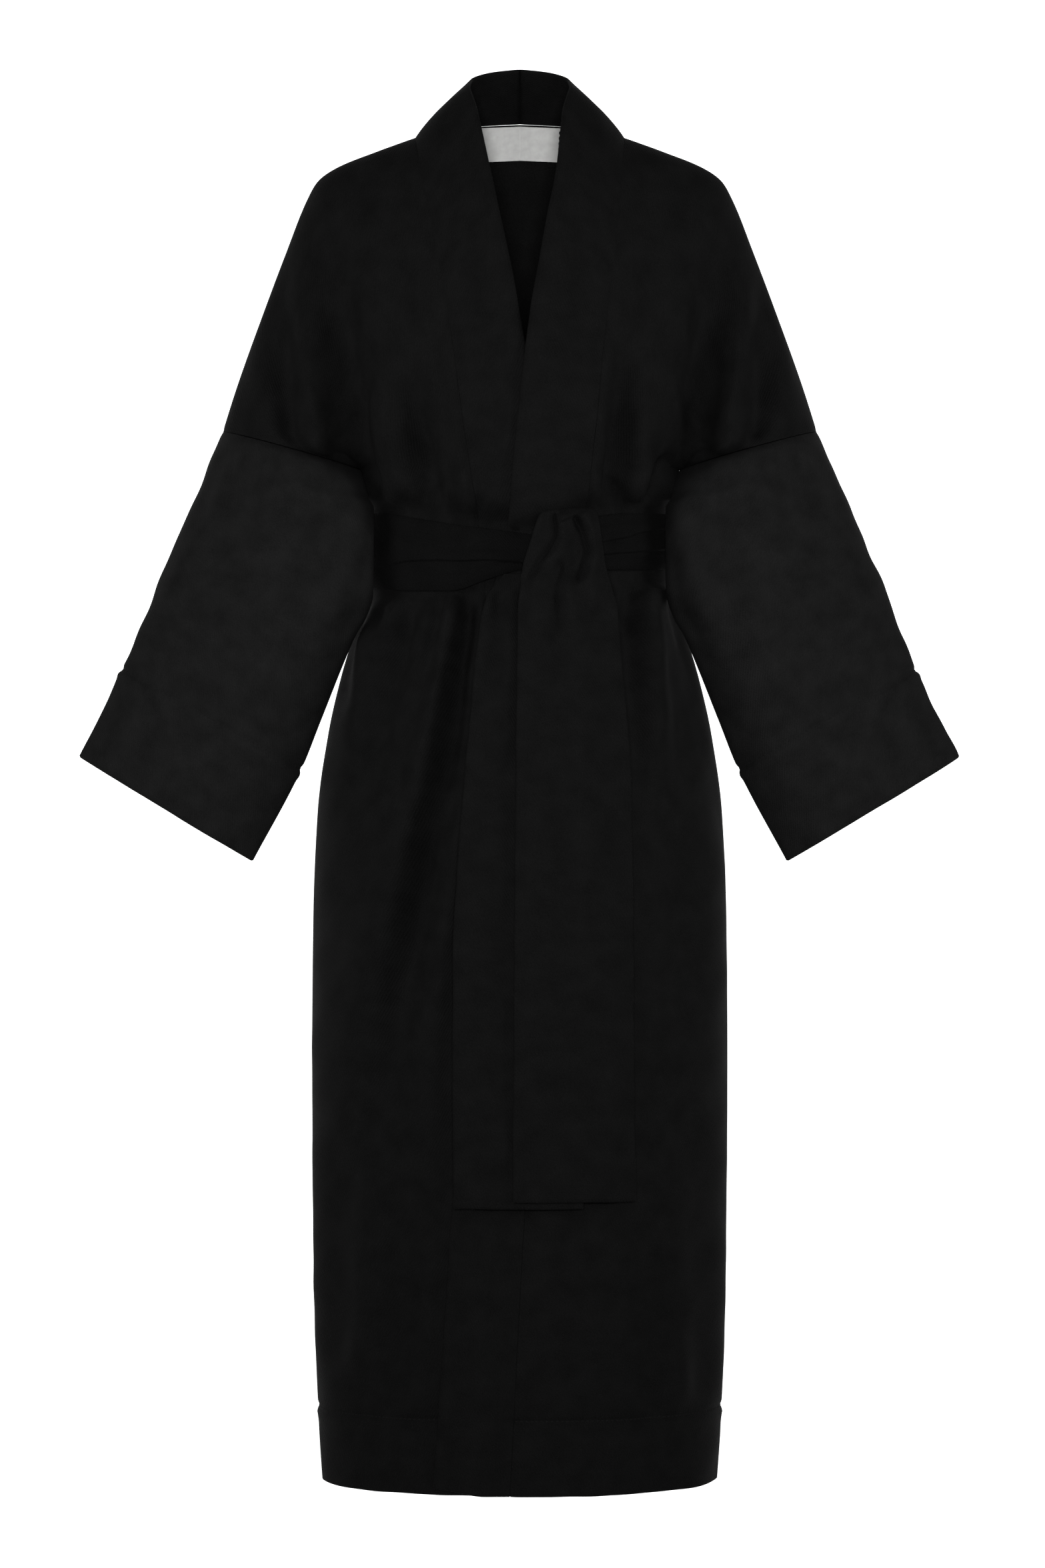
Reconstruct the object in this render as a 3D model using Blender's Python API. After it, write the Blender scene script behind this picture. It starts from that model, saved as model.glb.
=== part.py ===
"""Wool wrap robe with a sash, filled out as if worn: each cut piece is a thin cloth wall.

Metres, +Z up, the front faces -Y and the wearer's left is +X. The origin lies on the shoulder
line, midway between the two points where the shoulders meet the neckband.
"""

from collections import namedtuple
import math

import bmesh
import bpy
import numpy as np

# Cloth thicknesses and the open space between pieces
CLOTH = 0.0020          # one layer of napped wool twill
DOUBLE = 0.0032         # two pressed layers: neckband, sash and turned hems
LABEL_CLOTH = 0.0010    # folded satin
SEAM = 0.0004           # left open at every seam
NECK_SEAM = 0.0008      # left open at the back neck, where the band turns up sharply
LAY = 0.0005            # left open under a piece that lies on another
LAP_LIFT = 0.0060       # how far the over front stands off the under front
LAP_FADE = (0.005, 0.065)       # where that ends, past the under front's free edge
LAP_START = (0.110, 0.185)      # where it begins, below the shoulders
LAP_NEST = (0.008, 0.026)       # how far past the lap the folds fade to nothing
SASH_STEP = 0.050               # width over which the sash comes down past the over front's edge

# Main heights
UNDERARM_Z = -0.308
HEM_Z = -1.240
HEM_DEPTH = 0.067
WAIST_Z = -0.384
SASH_PRESS_LOW = (-0.438, -0.427)     # between these heights the sash presses the cloth smooth
SASH_PRESS_HIGH = (0.330, 0.343)

# Body sections below the underarm: half width, and depth in front of and behind the side seams
Section = namedtuple("Section", "z half_width front back")
SECTIONS = (
    Section(-0.308, 0.1470, 0.118, 0.104),
    Section(-0.322, 0.1440, 0.116, 0.103),
    Section(-0.336, 0.1375, 0.104, 0.096),
    Section(-0.345, 0.1280, 0.091, 0.087),
    Section(-0.4255, 0.1280, 0.091, 0.087),
    Section(-0.434, 0.1345, 0.099, 0.094),
    Section(-0.452, 0.1490, 0.109, 0.105),
    Section(-0.471, 0.1570, 0.115, 0.112),
    Section(-0.502, 0.1663, 0.120, 0.119),
    Section(-0.552, 0.1775, 0.127, 0.128),
    Section(-0.626, 0.1875, 0.133, 0.134),
    Section(-0.725, 0.1915, 0.137, 0.137),
    Section(-0.849, 0.1925, 0.139, 0.138),
    Section(-1.071, 0.1905, 0.140, 0.137),
    Section(-1.195, 0.1860, 0.139, 0.136),
    Section(HEM_Z, 0.1830, 0.138, 0.135),
)
ROUNDNESS = 2.2         # 2 is an ellipse, more is squarer

# Row heights of the panels below the underarm, closer together round the belt and the hem line
BODY_ROWS = (-0.322, -0.336, -0.345, -0.384, -0.4255, -0.434, -0.444, -0.458, -0.476, -0.502,
             -0.540, -0.590, -0.650, -0.720, -0.800, -0.885, -0.970, -1.060,
             HEM_Z + HEM_DEPTH + 0.003, HEM_Z + HEM_DEPTH - 0.003, HEM_Z)
YOKE_ROWS = 11
FRONT_COLUMNS = 21
BACK_NECK_COLUMNS = 7     # from the centre back to the neck point
BACK_ARM_COLUMNS = 10     # from the neck point to the armhole
BAND_COLUMNS = 4

# Shoulder line from the neck point over the shoulder and down the arm to the sleeve seam (y = 0)
ShoulderPoint = namedtuple("ShoulderPoint", "x z")
SHOULDER = (
    ShoulderPoint(0.0970, 0.0000),
    ShoulderPoint(0.1330, -0.0130),
    ShoulderPoint(0.1700, -0.0280),
    ShoulderPoint(0.1870, -0.0400),
    ShoulderPoint(0.1970, -0.0570),
    ShoulderPoint(0.2170, -0.1070),
    ShoulderPoint(0.2355, -0.1560),
    ShoulderPoint(0.2620, -0.2300),
    ShoulderPoint(0.2755, -0.2725),
)
UNDERARM_X = 0.148      # the underarm point stands off the side so that sleeve and side stay apart
ARM_DEPTH = 0.060       # half depth of the armhole
ARM_WRAP_START = 0.30   # share of the shoulder from which the cloth bends round the arm
ARMHOLE_CALM_START = 0.80       # share of the panel from which folds fade towards the sleeve
UNDERARM_REACH_START = 0.86
ARM_AXIS = np.array((0.268, 0.0, -0.963))   # the way the sleeve leaves the left armhole

# Back neckline from the centre back to the neck point
NeckPoint = namedtuple("NeckPoint", "x y z")
BACK_NECK = (
    NeckPoint(0.000, 0.078, 0.022),
    NeckPoint(0.045, 0.071, 0.019),
    NeckPoint(0.080, 0.042, 0.010),
    NeckPoint(0.097, 0.000, 0.000),
)
BACK_NECK_SHARE = 0.24  # share of the half back panel's columns that end on the neckline
BACK_NECK_LEAN = 0.6    # how straight the upper back leaves the neckline

# Front edges, measured from the centre front towards each panel's own side
SeamRow = namedtuple("SeamRow", "z over under")
BAND_SEAM = (
    SeamRow(0.0000, 0.0970, 0.0970),
    SeamRow(-0.0600, 0.0920, 0.0860),
    SeamRow(-0.1745, 0.0797, 0.0650),
    SeamRow(-0.2850, 0.0663, 0.0488),
    SeamRow(-0.3500, 0.0590, 0.0392),
    SeamRow(-0.4218, 0.0440, 0.0320),
    SeamRow(-0.9860, 0.0044, 0.0010),
    SeamRow(HEM_Z, -0.0087, -0.0097),
)
FreeRow = namedtuple("FreeRow", "z over under")
BAND_FREE = (
    FreeRow(-0.2250, 0.0037, -0.0085),
    FreeRow(-0.3156, -0.0058, -0.0215),
    FreeRow(-0.3606, -0.0093, -0.0285),
    FreeRow(-0.4218, -0.0225, -0.0340),
    FreeRow(-0.9840, -0.0593, -0.0640),
    FreeRow(HEM_Z, -0.0762, -0.0760),
)
# Free edge round the neck: station 0 is the centre back, 1 the neck point, 2 the underarm row
NeckEdge = namedtuple("NeckEdge", "station over_x under_x y z")
NECK_EDGE = (
    NeckEdge(0.00, 0.0000, 0.0000, 0.0600, 0.0715),
    NeckEdge(0.35, 0.0300, 0.0300, 0.0530, 0.0672),
    NeckEdge(0.72, 0.0460, 0.0460, 0.0300, 0.0580),
    NeckEdge(1.00, 0.0475, 0.0475, -0.0060, 0.0480),
    NeckEdge(1.28, 0.0405, 0.0400, -0.0380, 0.0220),
    NeckEdge(1.45, 0.0350, 0.0290, -0.0640, -0.0280),
    NeckEdge(1.60, 0.0230, 0.0150, -0.0870, -0.0950),
    NeckEdge(1.715, 0.0115, 0.0015, -0.1020, -0.1650),
    NeckEdge(1.83, 0.0037, -0.0085, -0.1110, -0.2250),
    NeckEdge(1.92, -0.0010, -0.0150, -0.1150, -0.2694),
)
BAND_ROLL = 0.0035      # how far the band's middle stands out from the line between its edges
CORNER_RISE = 0.006     # the over band's hem corner hangs a little high
CORNER_HEIGHT = 0.06    # height over which it does, and the share of the band's width from its seam
CORNER_START = 0.3
NECK_EASING = 3         # passes that ease the turn of the neck seam's normals

# Largest folds, as lines in the front view from the strong end to the end where they fade
FOLD_SPREAD = 0.7               # how much wider a fold gets towards its end
FOLD_SIDE_FADE = (0.004, 0.040) # folds fade this near to the side seams
FOLD_RISE = (-0.12, 0.06)       # shares of a fold's length over which it sets in and fades out
FOLD_FALL = (0.35, 1.0)
Fold = namedtuple("Fold", "root_x root_z tip_x tip_z depth width")
FRONT_FOLDS = (
    Fold(-0.146, -0.285, -0.176, -0.060, -0.0120, 0.0150),   # right armpit
    Fold(0.156, -0.285, 0.190, -0.070, -0.0120, 0.0150),     # left armpit
    Fold(-0.074, -0.340, -0.111, -0.210, -0.0075, 0.0105),   # right chest
    Fold(-0.103, -0.338, -0.101, -0.290, -0.0040, 0.0080),
    Fold(0.078, -0.338, 0.099, -0.180, -0.0075, 0.0105),     # left chest
    Fold(0.112, -0.338, 0.150, -0.285, -0.0060, 0.0090),
    Fold(-0.041, -0.430, -0.132, -0.960, -0.0150, 0.0160),   # main skirt fold beside the tails
    Fold(-0.086, -0.432, -0.134, -0.680, -0.0060, 0.0150),
    Fold(-0.118, -0.430, -0.143, -0.470, -0.0045, 0.0090),
    Fold(0.090, -0.430, 0.098, -0.620, -0.0070, 0.0120),     # right of the tails
    Fold(0.104, -0.425, 0.122, -0.990, 0.0060, 0.0200),
    Fold(0.116, -0.430, 0.152, -0.500, 0.0050, 0.0110),
    Fold(0.138, -0.640, 0.150, -0.890, -0.0045, 0.0180),
    Fold(-0.135, -1.160, -0.090, -1.010, -0.0035, 0.0200),
)
BACK_FOLDS = (
    Fold(-0.086, -0.338, -0.104, -0.170, -0.0075, 0.0120),
    Fold(-0.030, -0.340, -0.040, -0.230, -0.0060, 0.0110),
    Fold(0.036, -0.340, 0.052, -0.200, -0.0070, 0.0120),
    Fold(0.092, -0.338, 0.106, -0.180, -0.0065, 0.0120),
    Fold(-0.150, -0.285, -0.185, -0.070, -0.0100, 0.0160),
    Fold(0.150, -0.285, 0.185, -0.070, -0.0100, 0.0160),
    Fold(-0.098, -0.430, -0.132, -0.820, -0.0110, 0.0170),
    Fold(-0.026, -0.430, -0.034, -0.900, -0.0120, 0.0180),
    Fold(0.048, -0.430, 0.070, -0.760, -0.0100, 0.0170),
    Fold(0.108, -0.430, 0.140, -0.700, -0.0080, 0.0160),
)

# Sleeve rings from the armhole to the cuff: outer and inner edge, half depth and how pointed the edges are
Ring = namedtuple("Ring", "station outer_x outer_y outer_z inner_x inner_y inner_z depth point")
SLEEVE_RINGS = (
    Ring(0.000, 0.2755, 0.000, -0.2725, 0.1480, 0.000, -0.3080, 0.0600, 1.00),
    Ring(0.040, 0.2815, -0.001, -0.2865, 0.1440, -0.022, -0.3220, 0.0600, 1.06),
    Ring(0.080, 0.2873, -0.002, -0.3005, 0.1360, -0.034, -0.3360, 0.0595, 1.14),
    Ring(0.110, 0.2917, -0.003, -0.3110, 0.1280, -0.041, -0.3450, 0.0590, 1.20),
    Ring(0.165, 0.2998, -0.004, -0.3300, 0.1277, -0.046, -0.3650, 0.0575, 1.25),
    Ring(0.250, 0.3115, -0.007, -0.3575, 0.1277, -0.047, -0.4000, 0.0555, 1.25),
    Ring(0.310, 0.3195, -0.010, -0.3765, 0.1290, -0.047, -0.4250, 0.0540, 1.22),
    Ring(0.360, 0.3262, -0.012, -0.3920, 0.1375, -0.046, -0.4450, 0.0530, 1.18),
    Ring(0.400, 0.3318, -0.014, -0.4050, 0.1505, -0.045, -0.4620, 0.0520, 1.14),
    Ring(0.445, 0.3368, -0.016, -0.4170, 0.1585, -0.044, -0.4800, 0.0500, 1.12),
    Ring(0.600, 0.3522, -0.022, -0.4580, 0.1825, -0.043, -0.5400, 0.0450, 1.12),
    Ring(0.720, 0.3662, -0.027, -0.4930, 0.2005, -0.043, -0.5850, 0.0400, 1.18),
    Ring(1.000, 0.4050, -0.036, -0.5730, 0.2450, -0.045, -0.6690, 0.0280, 1.30),
)
CUFF_STATION = 0.72     # the stitched line of the deep turned hem
SLEEVE_ROWS = (0.0, 0.04, 0.08, 0.11, 0.165, 0.25, 0.31, 0.36, 0.42, 0.50, 0.60, 0.70, 0.74,
               0.87, 1.0)
SLEEVE_AROUND = 26
# Long soft folds of the sleeves: place round the ring (0 outer edge, 90 front), depth and width
SLEEVE_FOLD_RISE = (0.0, 0.25)  # shares of a sleeve fold over which it sets in and fades out
SLEEVE_FOLD_FALL = (0.55, 1.0)
SleeveFold = namedtuple("SleeveFold", "angle start end depth width")
SLEEVE_FOLDS = (
    SleeveFold(58.0, 0.00, 0.62, -0.0045, 13.0),
    SleeveFold(118.0, 0.00, 0.50, -0.0055, 12.0),
    SleeveFold(86.0, 0.45, 1.00, -0.0030, 14.0),
    SleeveFold(265.0, 0.00, 0.60, -0.0055, 14.0),
)

# Sash: top and bottom edge of each stretch by angle round the waist (0 front, 90 wearer's left)
BeltEdge = namedtuple("BeltEdge", "angle top bottom")
BELT_RIGHT = (
    BeltEdge(-90.0, -0.3490, -0.4170),
    BeltEdge(-62.0, -0.3500, -0.4195),
    BeltEdge(-44.0, -0.3550, -0.4225),
    BeltEdge(-24.0, -0.3620, -0.4230),
    BeltEdge(-10.0, -0.3665, -0.4130),
    BeltEdge(1.0, -0.3710, -0.4040),
    BeltEdge(9.6, -0.3740, -0.4010),
)
BELT_LEFT = (
    BeltEdge(9.6, -0.3600, -0.4030),
    BeltEdge(24.0, -0.3560, -0.4040),
    BeltEdge(40.0, -0.3515, -0.4035),
    BeltEdge(90.0, -0.3495, -0.4000),
)
BELT_BACK = (
    BeltEdge(90.0, -0.3495, -0.4000),
    BeltEdge(150.0, -0.3480, -0.4080),
    BeltEdge(210.0, -0.3480, -0.4140),
    BeltEdge(270.0, -0.3490, -0.4170),
)
BELT_PLEAT = 0.0040     # how far each pleat of the sash stands out
PLEAT_ROUNDNESS = 0.8   # 1 is a half wave, less is fuller
PLEAT_ROWS = 4          # grid rows of each pleat
WAIST_RADIUS = 0.1      # rough radius of the waist, by which seams become angles
# Stretches of the sash: where its pleats part, as shares of its width, and its grid columns
Stretch = namedtuple("Stretch", "name edges splits columns")
STRETCHES = (
    Stretch("belt_right", BELT_RIGHT, (0.62,), 15),
    Stretch("belt_left", BELT_LEFT, (0.32, 0.66), 13),
    Stretch("belt_back", BELT_BACK, (0.5,), 19),
)

# Sash tails in the front view; out is how far the face stands in front of the smooth front
TailRow = namedtuple("TailRow", "z left right out")
TAIL_OVER = (
    TailRow(-0.3495, 0.0245, 0.0610, 0.0003),
    TailRow(-0.3475, 0.0230, 0.0618, 0.0095),
    TailRow(-0.3490, 0.0210, 0.0626, 0.0155),
    TailRow(-0.3570, 0.0165, 0.0640, 0.0220),
    TailRow(-0.3800, 0.0095, 0.0660, 0.0260),
    TailRow(-0.4020, 0.0030, 0.0680, 0.0255),
    TailRow(-0.4383, -0.0010, 0.0770, 0.0215),
    TailRow(-0.4930, -0.0015, 0.0845, 0.0200),
    TailRow(-0.6194, -0.0030, 0.0940, 0.0185),
    TailRow(-0.9740, -0.0053, 0.0965, 0.0180),
)
TAIL_UNDER = (
    TailRow(-0.4085, -0.0130, 0.0450, 0.0140),
    TailRow(-0.4295, -0.0273, 0.0480, 0.0135),
    TailRow(-0.4930, -0.0374, 0.0520, 0.0125),
    TailRow(-0.6787, -0.0530, 0.0540, 0.0120),
    TailRow(-0.7630, -0.0565, 0.0540, 0.0120),
    TailRow(-0.9800, -0.0555, 0.0535, 0.0144),
)
TAIL_ROWS = 22
TAIL_COLUMNS = 10
KNOT_PLEATS = 3         # pleats of the sash where it falls over the knot
KNOT_PLEAT_DEPTH = 0.0045
KNOT_PLEAT_FULL = -0.430        # heights between which they fade out, and the share where they set in
KNOT_PLEAT_END = -0.520
KNOT_PLEAT_RISE = 0.25

# Plain finishes
WOOL_COLOUR = (0.012, 0.012, 0.013)
WOOL_ROUGHNESS = 0.9
SATIN_COLOUR = (0.55, 0.55, 0.54)
SATIN_ROUGHNESS = 0.45

# Label inside the back neck
LABEL_HALF_WIDTH = 0.040
LABEL_HEIGHT = 0.034
LABEL_LAY = 0.0014
LABEL_FALL = (0.010, 0.150)     # share of the upper back that the label is measured out on
LABEL_COLUMNS = 7
LABEL_ROWS = 4
NECK_SAMPLES = 60               # places along the neckline at which the label's columns are sought


def smoothstep(value, start, end):
    """Ease from 0 at the start to 1 at the end."""
    share = np.clip((np.asarray(value) - start) / (end - start), 0.0, 1.0)
    return share * share * (3.0 - 2.0 * share)


def blend(first, second, share):
    """Straight mix of two values."""
    return first + (second - first) * share


def through(knots, values, at):
    """Smooth curve through values at rising knots that never swings past its own values."""
    knots = np.asarray(knots, float)
    values = np.asarray(values, float)
    steps = np.diff(values) / np.diff(knots)
    slopes = np.concatenate((steps[:1], np.zeros(len(steps) - 1), steps[-1:]))
    same_way = steps[:-1] * steps[1:] > 0
    total = np.where(same_way, steps[:-1] + steps[1:], 1.0)
    slopes[1:-1] = np.where(same_way, 2.0 * steps[:-1] * steps[1:] / total, 0.0)
    cell = np.clip(np.searchsorted(knots, at, side="right") - 1, 0, len(knots) - 2)
    span = knots[cell + 1] - knots[cell]
    t = np.clip((at - knots[cell]) / span, 0.0, 1.0)
    ease = t * t * (3.0 - 2.0 * t)
    start_pull = t * (1.0 - t) ** 2 * span * slopes[cell]
    end_pull = t * t * (t - 1.0) * span * slopes[cell + 1]
    return blend(values[cell], values[cell + 1], ease) + start_pull + end_pull


def read(rows, column, at, key="z"):
    """Smooth value of one column of a table at the given place of its key column."""
    ordered = sorted(rows, key=lambda row: getattr(row, key))
    knots = [getattr(row, key) for row in ordered]
    values = [getattr(row, column) for row in ordered]
    return through(knots, values, np.asarray(at, float))


def unit(vectors):
    """Vectors of length one."""
    return vectors / np.maximum(np.linalg.norm(vectors, axis=-1, keepdims=True), 1e-12)


def power(values, exponent):
    """Power that keeps the sign."""
    return np.sign(values) * np.abs(values) ** exponent


def stack(x, y, z):
    """Points from three arrays."""
    return np.stack(np.broadcast_arrays(x, y, z), axis=-1)


def oval(z, angle):
    """Body surface at a height and an angle from the centre front towards +X, in radians."""
    half_width = read(SECTIONS, "half_width", z)
    depth = np.where(np.cos(angle) >= 0, read(SECTIONS, "front", z), read(SECTIONS, "back", z))
    x = half_width * power(np.sin(angle), 2.0 / ROUNDNESS)
    y = -depth * power(np.cos(angle), 2.0 / ROUNDNESS)
    return stack(x, y, z)


def angle_at(x, z):
    """Angle whose point on the body's front lies at x."""
    share = np.clip(x / read(SECTIONS, "half_width", z), -1.0, 1.0)
    return np.arcsin(power(share, ROUNDNESS / 2.0))


def band_side(side):
    """Table column of a front: the wearer's left laps over the right."""
    return "over" if side > 0 else "under"


def lap(x, z):
    """Extra stand-off of the over front where the under front lies below it."""
    under_edge = -read(BAND_FREE, "under", np.clip(z, HEM_Z, BAND_FREE[0].z))
    covered = 1.0 - smoothstep(x, under_edge + LAP_FADE[0], under_edge + LAP_FADE[1])
    return LAP_LIFT * covered * smoothstep(-z, *LAP_START)


def sash_lap(x, z):
    """Stand-off of the sash over the lapped fronts, eased down past the over front's free edge."""
    over_edge = read(BAND_FREE, "over", z)
    return lap(x, z) * smoothstep(x, over_edge - SASH_STEP, over_edge)


def belt_calm(z):
    """0 where the sash presses the cloth smooth, 1 away from it."""
    return 1.0 - smoothstep(z, *SASH_PRESS_LOW) * smoothstep(-z, *SASH_PRESS_HIGH)


def fold_relief(points, folds):
    """How far the folds move a surface out (or in) at each point, read in the front view."""
    x = points[..., 0]
    z = points[..., 2]
    relief = np.zeros(x.shape)
    for fold in folds:
        run_x = fold.tip_x - fold.root_x
        run_z = fold.tip_z - fold.root_z
        length = math.hypot(run_x, run_z)
        along = ((x - fold.root_x) * run_x + (z - fold.root_z) * run_z) / length ** 2
        across = ((x - fold.root_x) * run_z - (z - fold.root_z) * run_x) / length
        spread = fold.width * (1.0 + FOLD_SPREAD * np.clip(along, 0.0, 1.0))
        profile = (1.0 - (across / spread) ** 2) * np.exp(-0.5 * (across / spread) ** 2)
        strength = smoothstep(along, *FOLD_RISE) * (1.0 - smoothstep(along, *FOLD_FALL))
        relief += fold.depth * profile * strength
    return relief * belt_calm(z) * smoothstep(np.abs(points[..., 1]), *FOLD_SIDE_FADE)


def lap_calm(x, z):
    """0 where both fronts lie on each other, so that they nest, 1 away from there."""
    low = np.clip(z, HEM_Z, BAND_FREE[0].z)
    over_edge = read(BAND_FREE, "over", low)
    under_edge = -read(BAND_FREE, "under", low)
    left_of_lap = smoothstep(x, over_edge - LAP_NEST[1], over_edge - LAP_NEST[0])
    right_of_lap = 1.0 - smoothstep(x, under_edge + LAP_NEST[0], under_edge + LAP_NEST[1])
    return 1.0 - left_of_lap * right_of_lap


def grid_normals(points, outside, ring=False):
    """Unit normals of a grid, turned to the outside by the sign given."""
    along = np.gradient(points, axis=0)
    if ring:
        across = np.roll(points, -1, axis=1) - np.roll(points, 1, axis=1)
    else:
        across = np.gradient(points, axis=1)
    return outside * unit(np.cross(across, along))


def flatten_normals(normals, axis):
    """Normals turned square to an axis, so that two sewn edges face each other squarely."""
    return unit(normals - (normals @ axis)[..., None] * axis)


def yoke(top, low, arm_depth, wrap, lean, rows):
    """Cloth that falls from the shoulder line to the underarm row.

    Near the neck it is a quarter oval over the chest, at the armhole half a ring round the arm.
    """
    fall = rows[:, None]
    quarter = blend(np.cos(fall * np.pi / 2), 1.0 - fall, lean)
    swell = blend(np.sin(fall * np.pi / 2), fall, lean)
    half = 0.5 * (1.0 + np.cos(fall * np.pi))
    height = blend(quarter, half, wrap)
    x = low[:, 0] + (top[:, 0] - low[:, 0]) * height
    z = low[:, 2] + (top[:, 2] - low[:, 2]) * height
    chest_y = top[:, 1] + (low[:, 1] - top[:, 1]) * swell
    arm_y = low[:, 1] * fall ** 2 + arm_depth * np.sin(fall * np.pi)
    return stack(x, blend(chest_y, arm_y, wrap), z)


def shoulder_line(share):
    """Point of the shoulder line: 0 at the neck point, 1 at the sleeve seam."""
    points = np.array([(row.x, row.z) for row in SHOULDER])
    lengths = np.concatenate(([0.0], np.cumsum(np.linalg.norm(np.diff(points, axis=0), axis=1))))
    knots = lengths / lengths[-1]
    return stack(through(knots, points[:, 0], share), 0.0, through(knots, points[:, 1], share))


def underarm_row(angle, share):
    """Row at the underarm height; its last columns reach out to the underarm point."""
    points = oval(np.full(len(angle), UNDERARM_Z), angle)
    reach = (UNDERARM_X - SECTIONS[0].half_width) * smoothstep(share, UNDERARM_REACH_START, 1.0)
    points[:, 0] += np.sign(points[:, 0]) * reach
    return points


def front_panel(side, columns, yoke_rows, body_rows):
    """Smooth surface of a front panel, from its band seam to its side seam, in its own side's +X."""
    name = band_side(side)
    share = np.linspace(0.0, 1.0, columns)
    seam_x = float(read(BAND_SEAM, name, UNDERARM_Z))
    seam_angle = float(angle_at(seam_x, UNDERARM_Z))
    low = underarm_row(blend(seam_angle, np.pi / 2, share), share)
    wrap = smoothstep(share, ARM_WRAP_START, 1.0)
    upper = yoke(shoulder_line(share), low, -ARM_DEPTH, wrap, 0.0, yoke_rows)
    shift = read(BAND_SEAM, name, upper[:, :1, 2]) - upper[:, :1, 0]
    upper[..., 0] += shift * (1.0 - share) ** 3
    z = body_rows[:, None]
    seam_angles = angle_at(read(BAND_SEAM, name, z), z)
    lower = oval(z + 0.0 * share, blend(seam_angles, np.pi / 2, share))
    return np.concatenate((upper, lower))


def neck_edge(side, stations):
    """Free edge of the neckband from the centre back to the underarm row, in its own side's +X."""
    name = band_side(side)
    end_x = float(read(BAND_FREE, name, UNDERARM_Z))
    end = oval(np.array(UNDERARM_Z), angle_at(end_x, UNDERARM_Z))
    knots = [row.station for row in NECK_EDGE] + [2.0]
    x = [getattr(row, name + "_x") for row in NECK_EDGE] + [end[0]]
    y = [row.y for row in NECK_EDGE] + [end[1]]
    z = [row.z for row in NECK_EDGE] + [end[2]]
    return stack(through(knots, x, stations), through(knots, y, stations), through(knots, z, stations))


def band_strip(seam, free, columns):
    """Strip from the free edge to the seam, rolled a little outwards across its width."""
    share = np.linspace(0.0, 1.0, columns + 1)[None, :, None]
    strip = blend(free[:, None], seam[:, None], share)
    out = grid_normals(strip, -1.0)
    return strip + out * BAND_ROLL * 4.0 * share * (1.0 - share)


def front_band(side, seam, columns, yoke_rows, body_rows):
    """Smooth surface of the band's front, from its free edge to its seam, in its own side's +X."""
    name = band_side(side)
    count = len(yoke_rows)
    upper = band_strip(seam[:count], neck_edge(side, 1.0 + yoke_rows), columns)
    z = body_rows[:, None]
    free_angle = angle_at(read(BAND_FREE, name, z), z)
    seam_angle = angle_at(read(BAND_SEAM, name, z), z)
    share = np.linspace(0.0, 1.0, columns + 1)
    lower = oval(z + 0.0 * share, blend(free_angle, seam_angle, share))
    return np.concatenate((upper, lower))


def back_neck(share):
    """Point of the back neckline: 0 at the centre back, 1 at the neck point."""
    angle = [math.atan2(row.x, row.y) for row in BACK_NECK]
    at = np.asarray(share) * np.pi / 2
    columns = [through(angle, [row[axis] for row in BACK_NECK], at) for axis in range(3)]
    return stack(*columns)


def front_cloth(side, panel_columns, band_columns, yoke_rows, body_rows):
    """Band and panel of one front as a single surface with its lap and folds, and its normals."""
    panel = front_panel(side, panel_columns, yoke_rows, body_rows)
    band = front_band(side, panel[:, 0], band_columns, yoke_rows, body_rows)
    cloth = np.concatenate((band[:, :-1], panel), axis=1)
    cloth[..., 0] *= side
    out = grid_normals(cloth, -side)
    out[:len(yoke_rows), -1] = flatten_normals(out[:len(yoke_rows), -1], ARM_AXIS * (side, 1, 1))
    lift = fold_relief(cloth, FRONT_FOLDS) * lap_calm(cloth[..., 0], cloth[..., 2])
    lift[:len(yoke_rows)] *= armhole_calm(np.linspace(0.0, 1.0, panel_columns), band_columns)
    if side > 0:
        lift = lift + lap(cloth[..., 0], cloth[..., 2])
    cloth = cloth + out * lift[..., None]
    return cloth, front_normals(cloth, side, len(yoke_rows), band_columns)


def armhole_calm(share, band_columns=0):
    """Share of a fold that is kept in each column: none at the armhole, so that the sleeve meets it."""
    return np.concatenate((np.ones(band_columns), 1.0 - smoothstep(share, ARMHOLE_CALM_START, 1.0)))


def front_normals(cloth, side, yoke_count, seam_column):
    """Normals of a front, squared up at the shoulder, armhole and side seam."""
    out = grid_normals(cloth, -side)
    along_y = np.array((0.0, 1.0, 0.0))
    arm_axis = ARM_AXIS * (side, 1, 1)
    out[0, seam_column:] = flatten_normals(out[0, seam_column:], along_y)
    out[yoke_count:, -1] = flatten_normals(out[yoke_count:, -1], along_y)
    out[:yoke_count, -1] = ring_normals(cloth[:yoke_count, -1], arm_axis)
    out[0, -1] = flatten_normals(out[0, -1], along_y)
    out[yoke_count - 1, -1] = arm_axis
    return out


def ring_normals(edge, axis):
    """Normals of an armhole edge that lie in its plane and point away from the arm's middle."""
    out = unit(np.cross(np.gradient(edge, axis=0), axis))
    middle = 0.5 * (edge[0] + edge[-1])
    middle = middle - (0.0, middle[1], 0.0)
    return out * np.sign(np.sum(out * (edge - middle), axis=-1, keepdims=True) + 1e-9)


def back_shares(neck_columns, arm_columns):
    """Column places across the back: -1 the right armhole, 0 the centre back, 1 the left armhole."""
    neck = np.linspace(0.0, BACK_NECK_SHARE, neck_columns, endpoint=False)
    arm = np.linspace(BACK_NECK_SHARE, 1.0, arm_columns)
    half = np.concatenate((neck, arm))
    return np.concatenate((-half[:0:-1], half))


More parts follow.
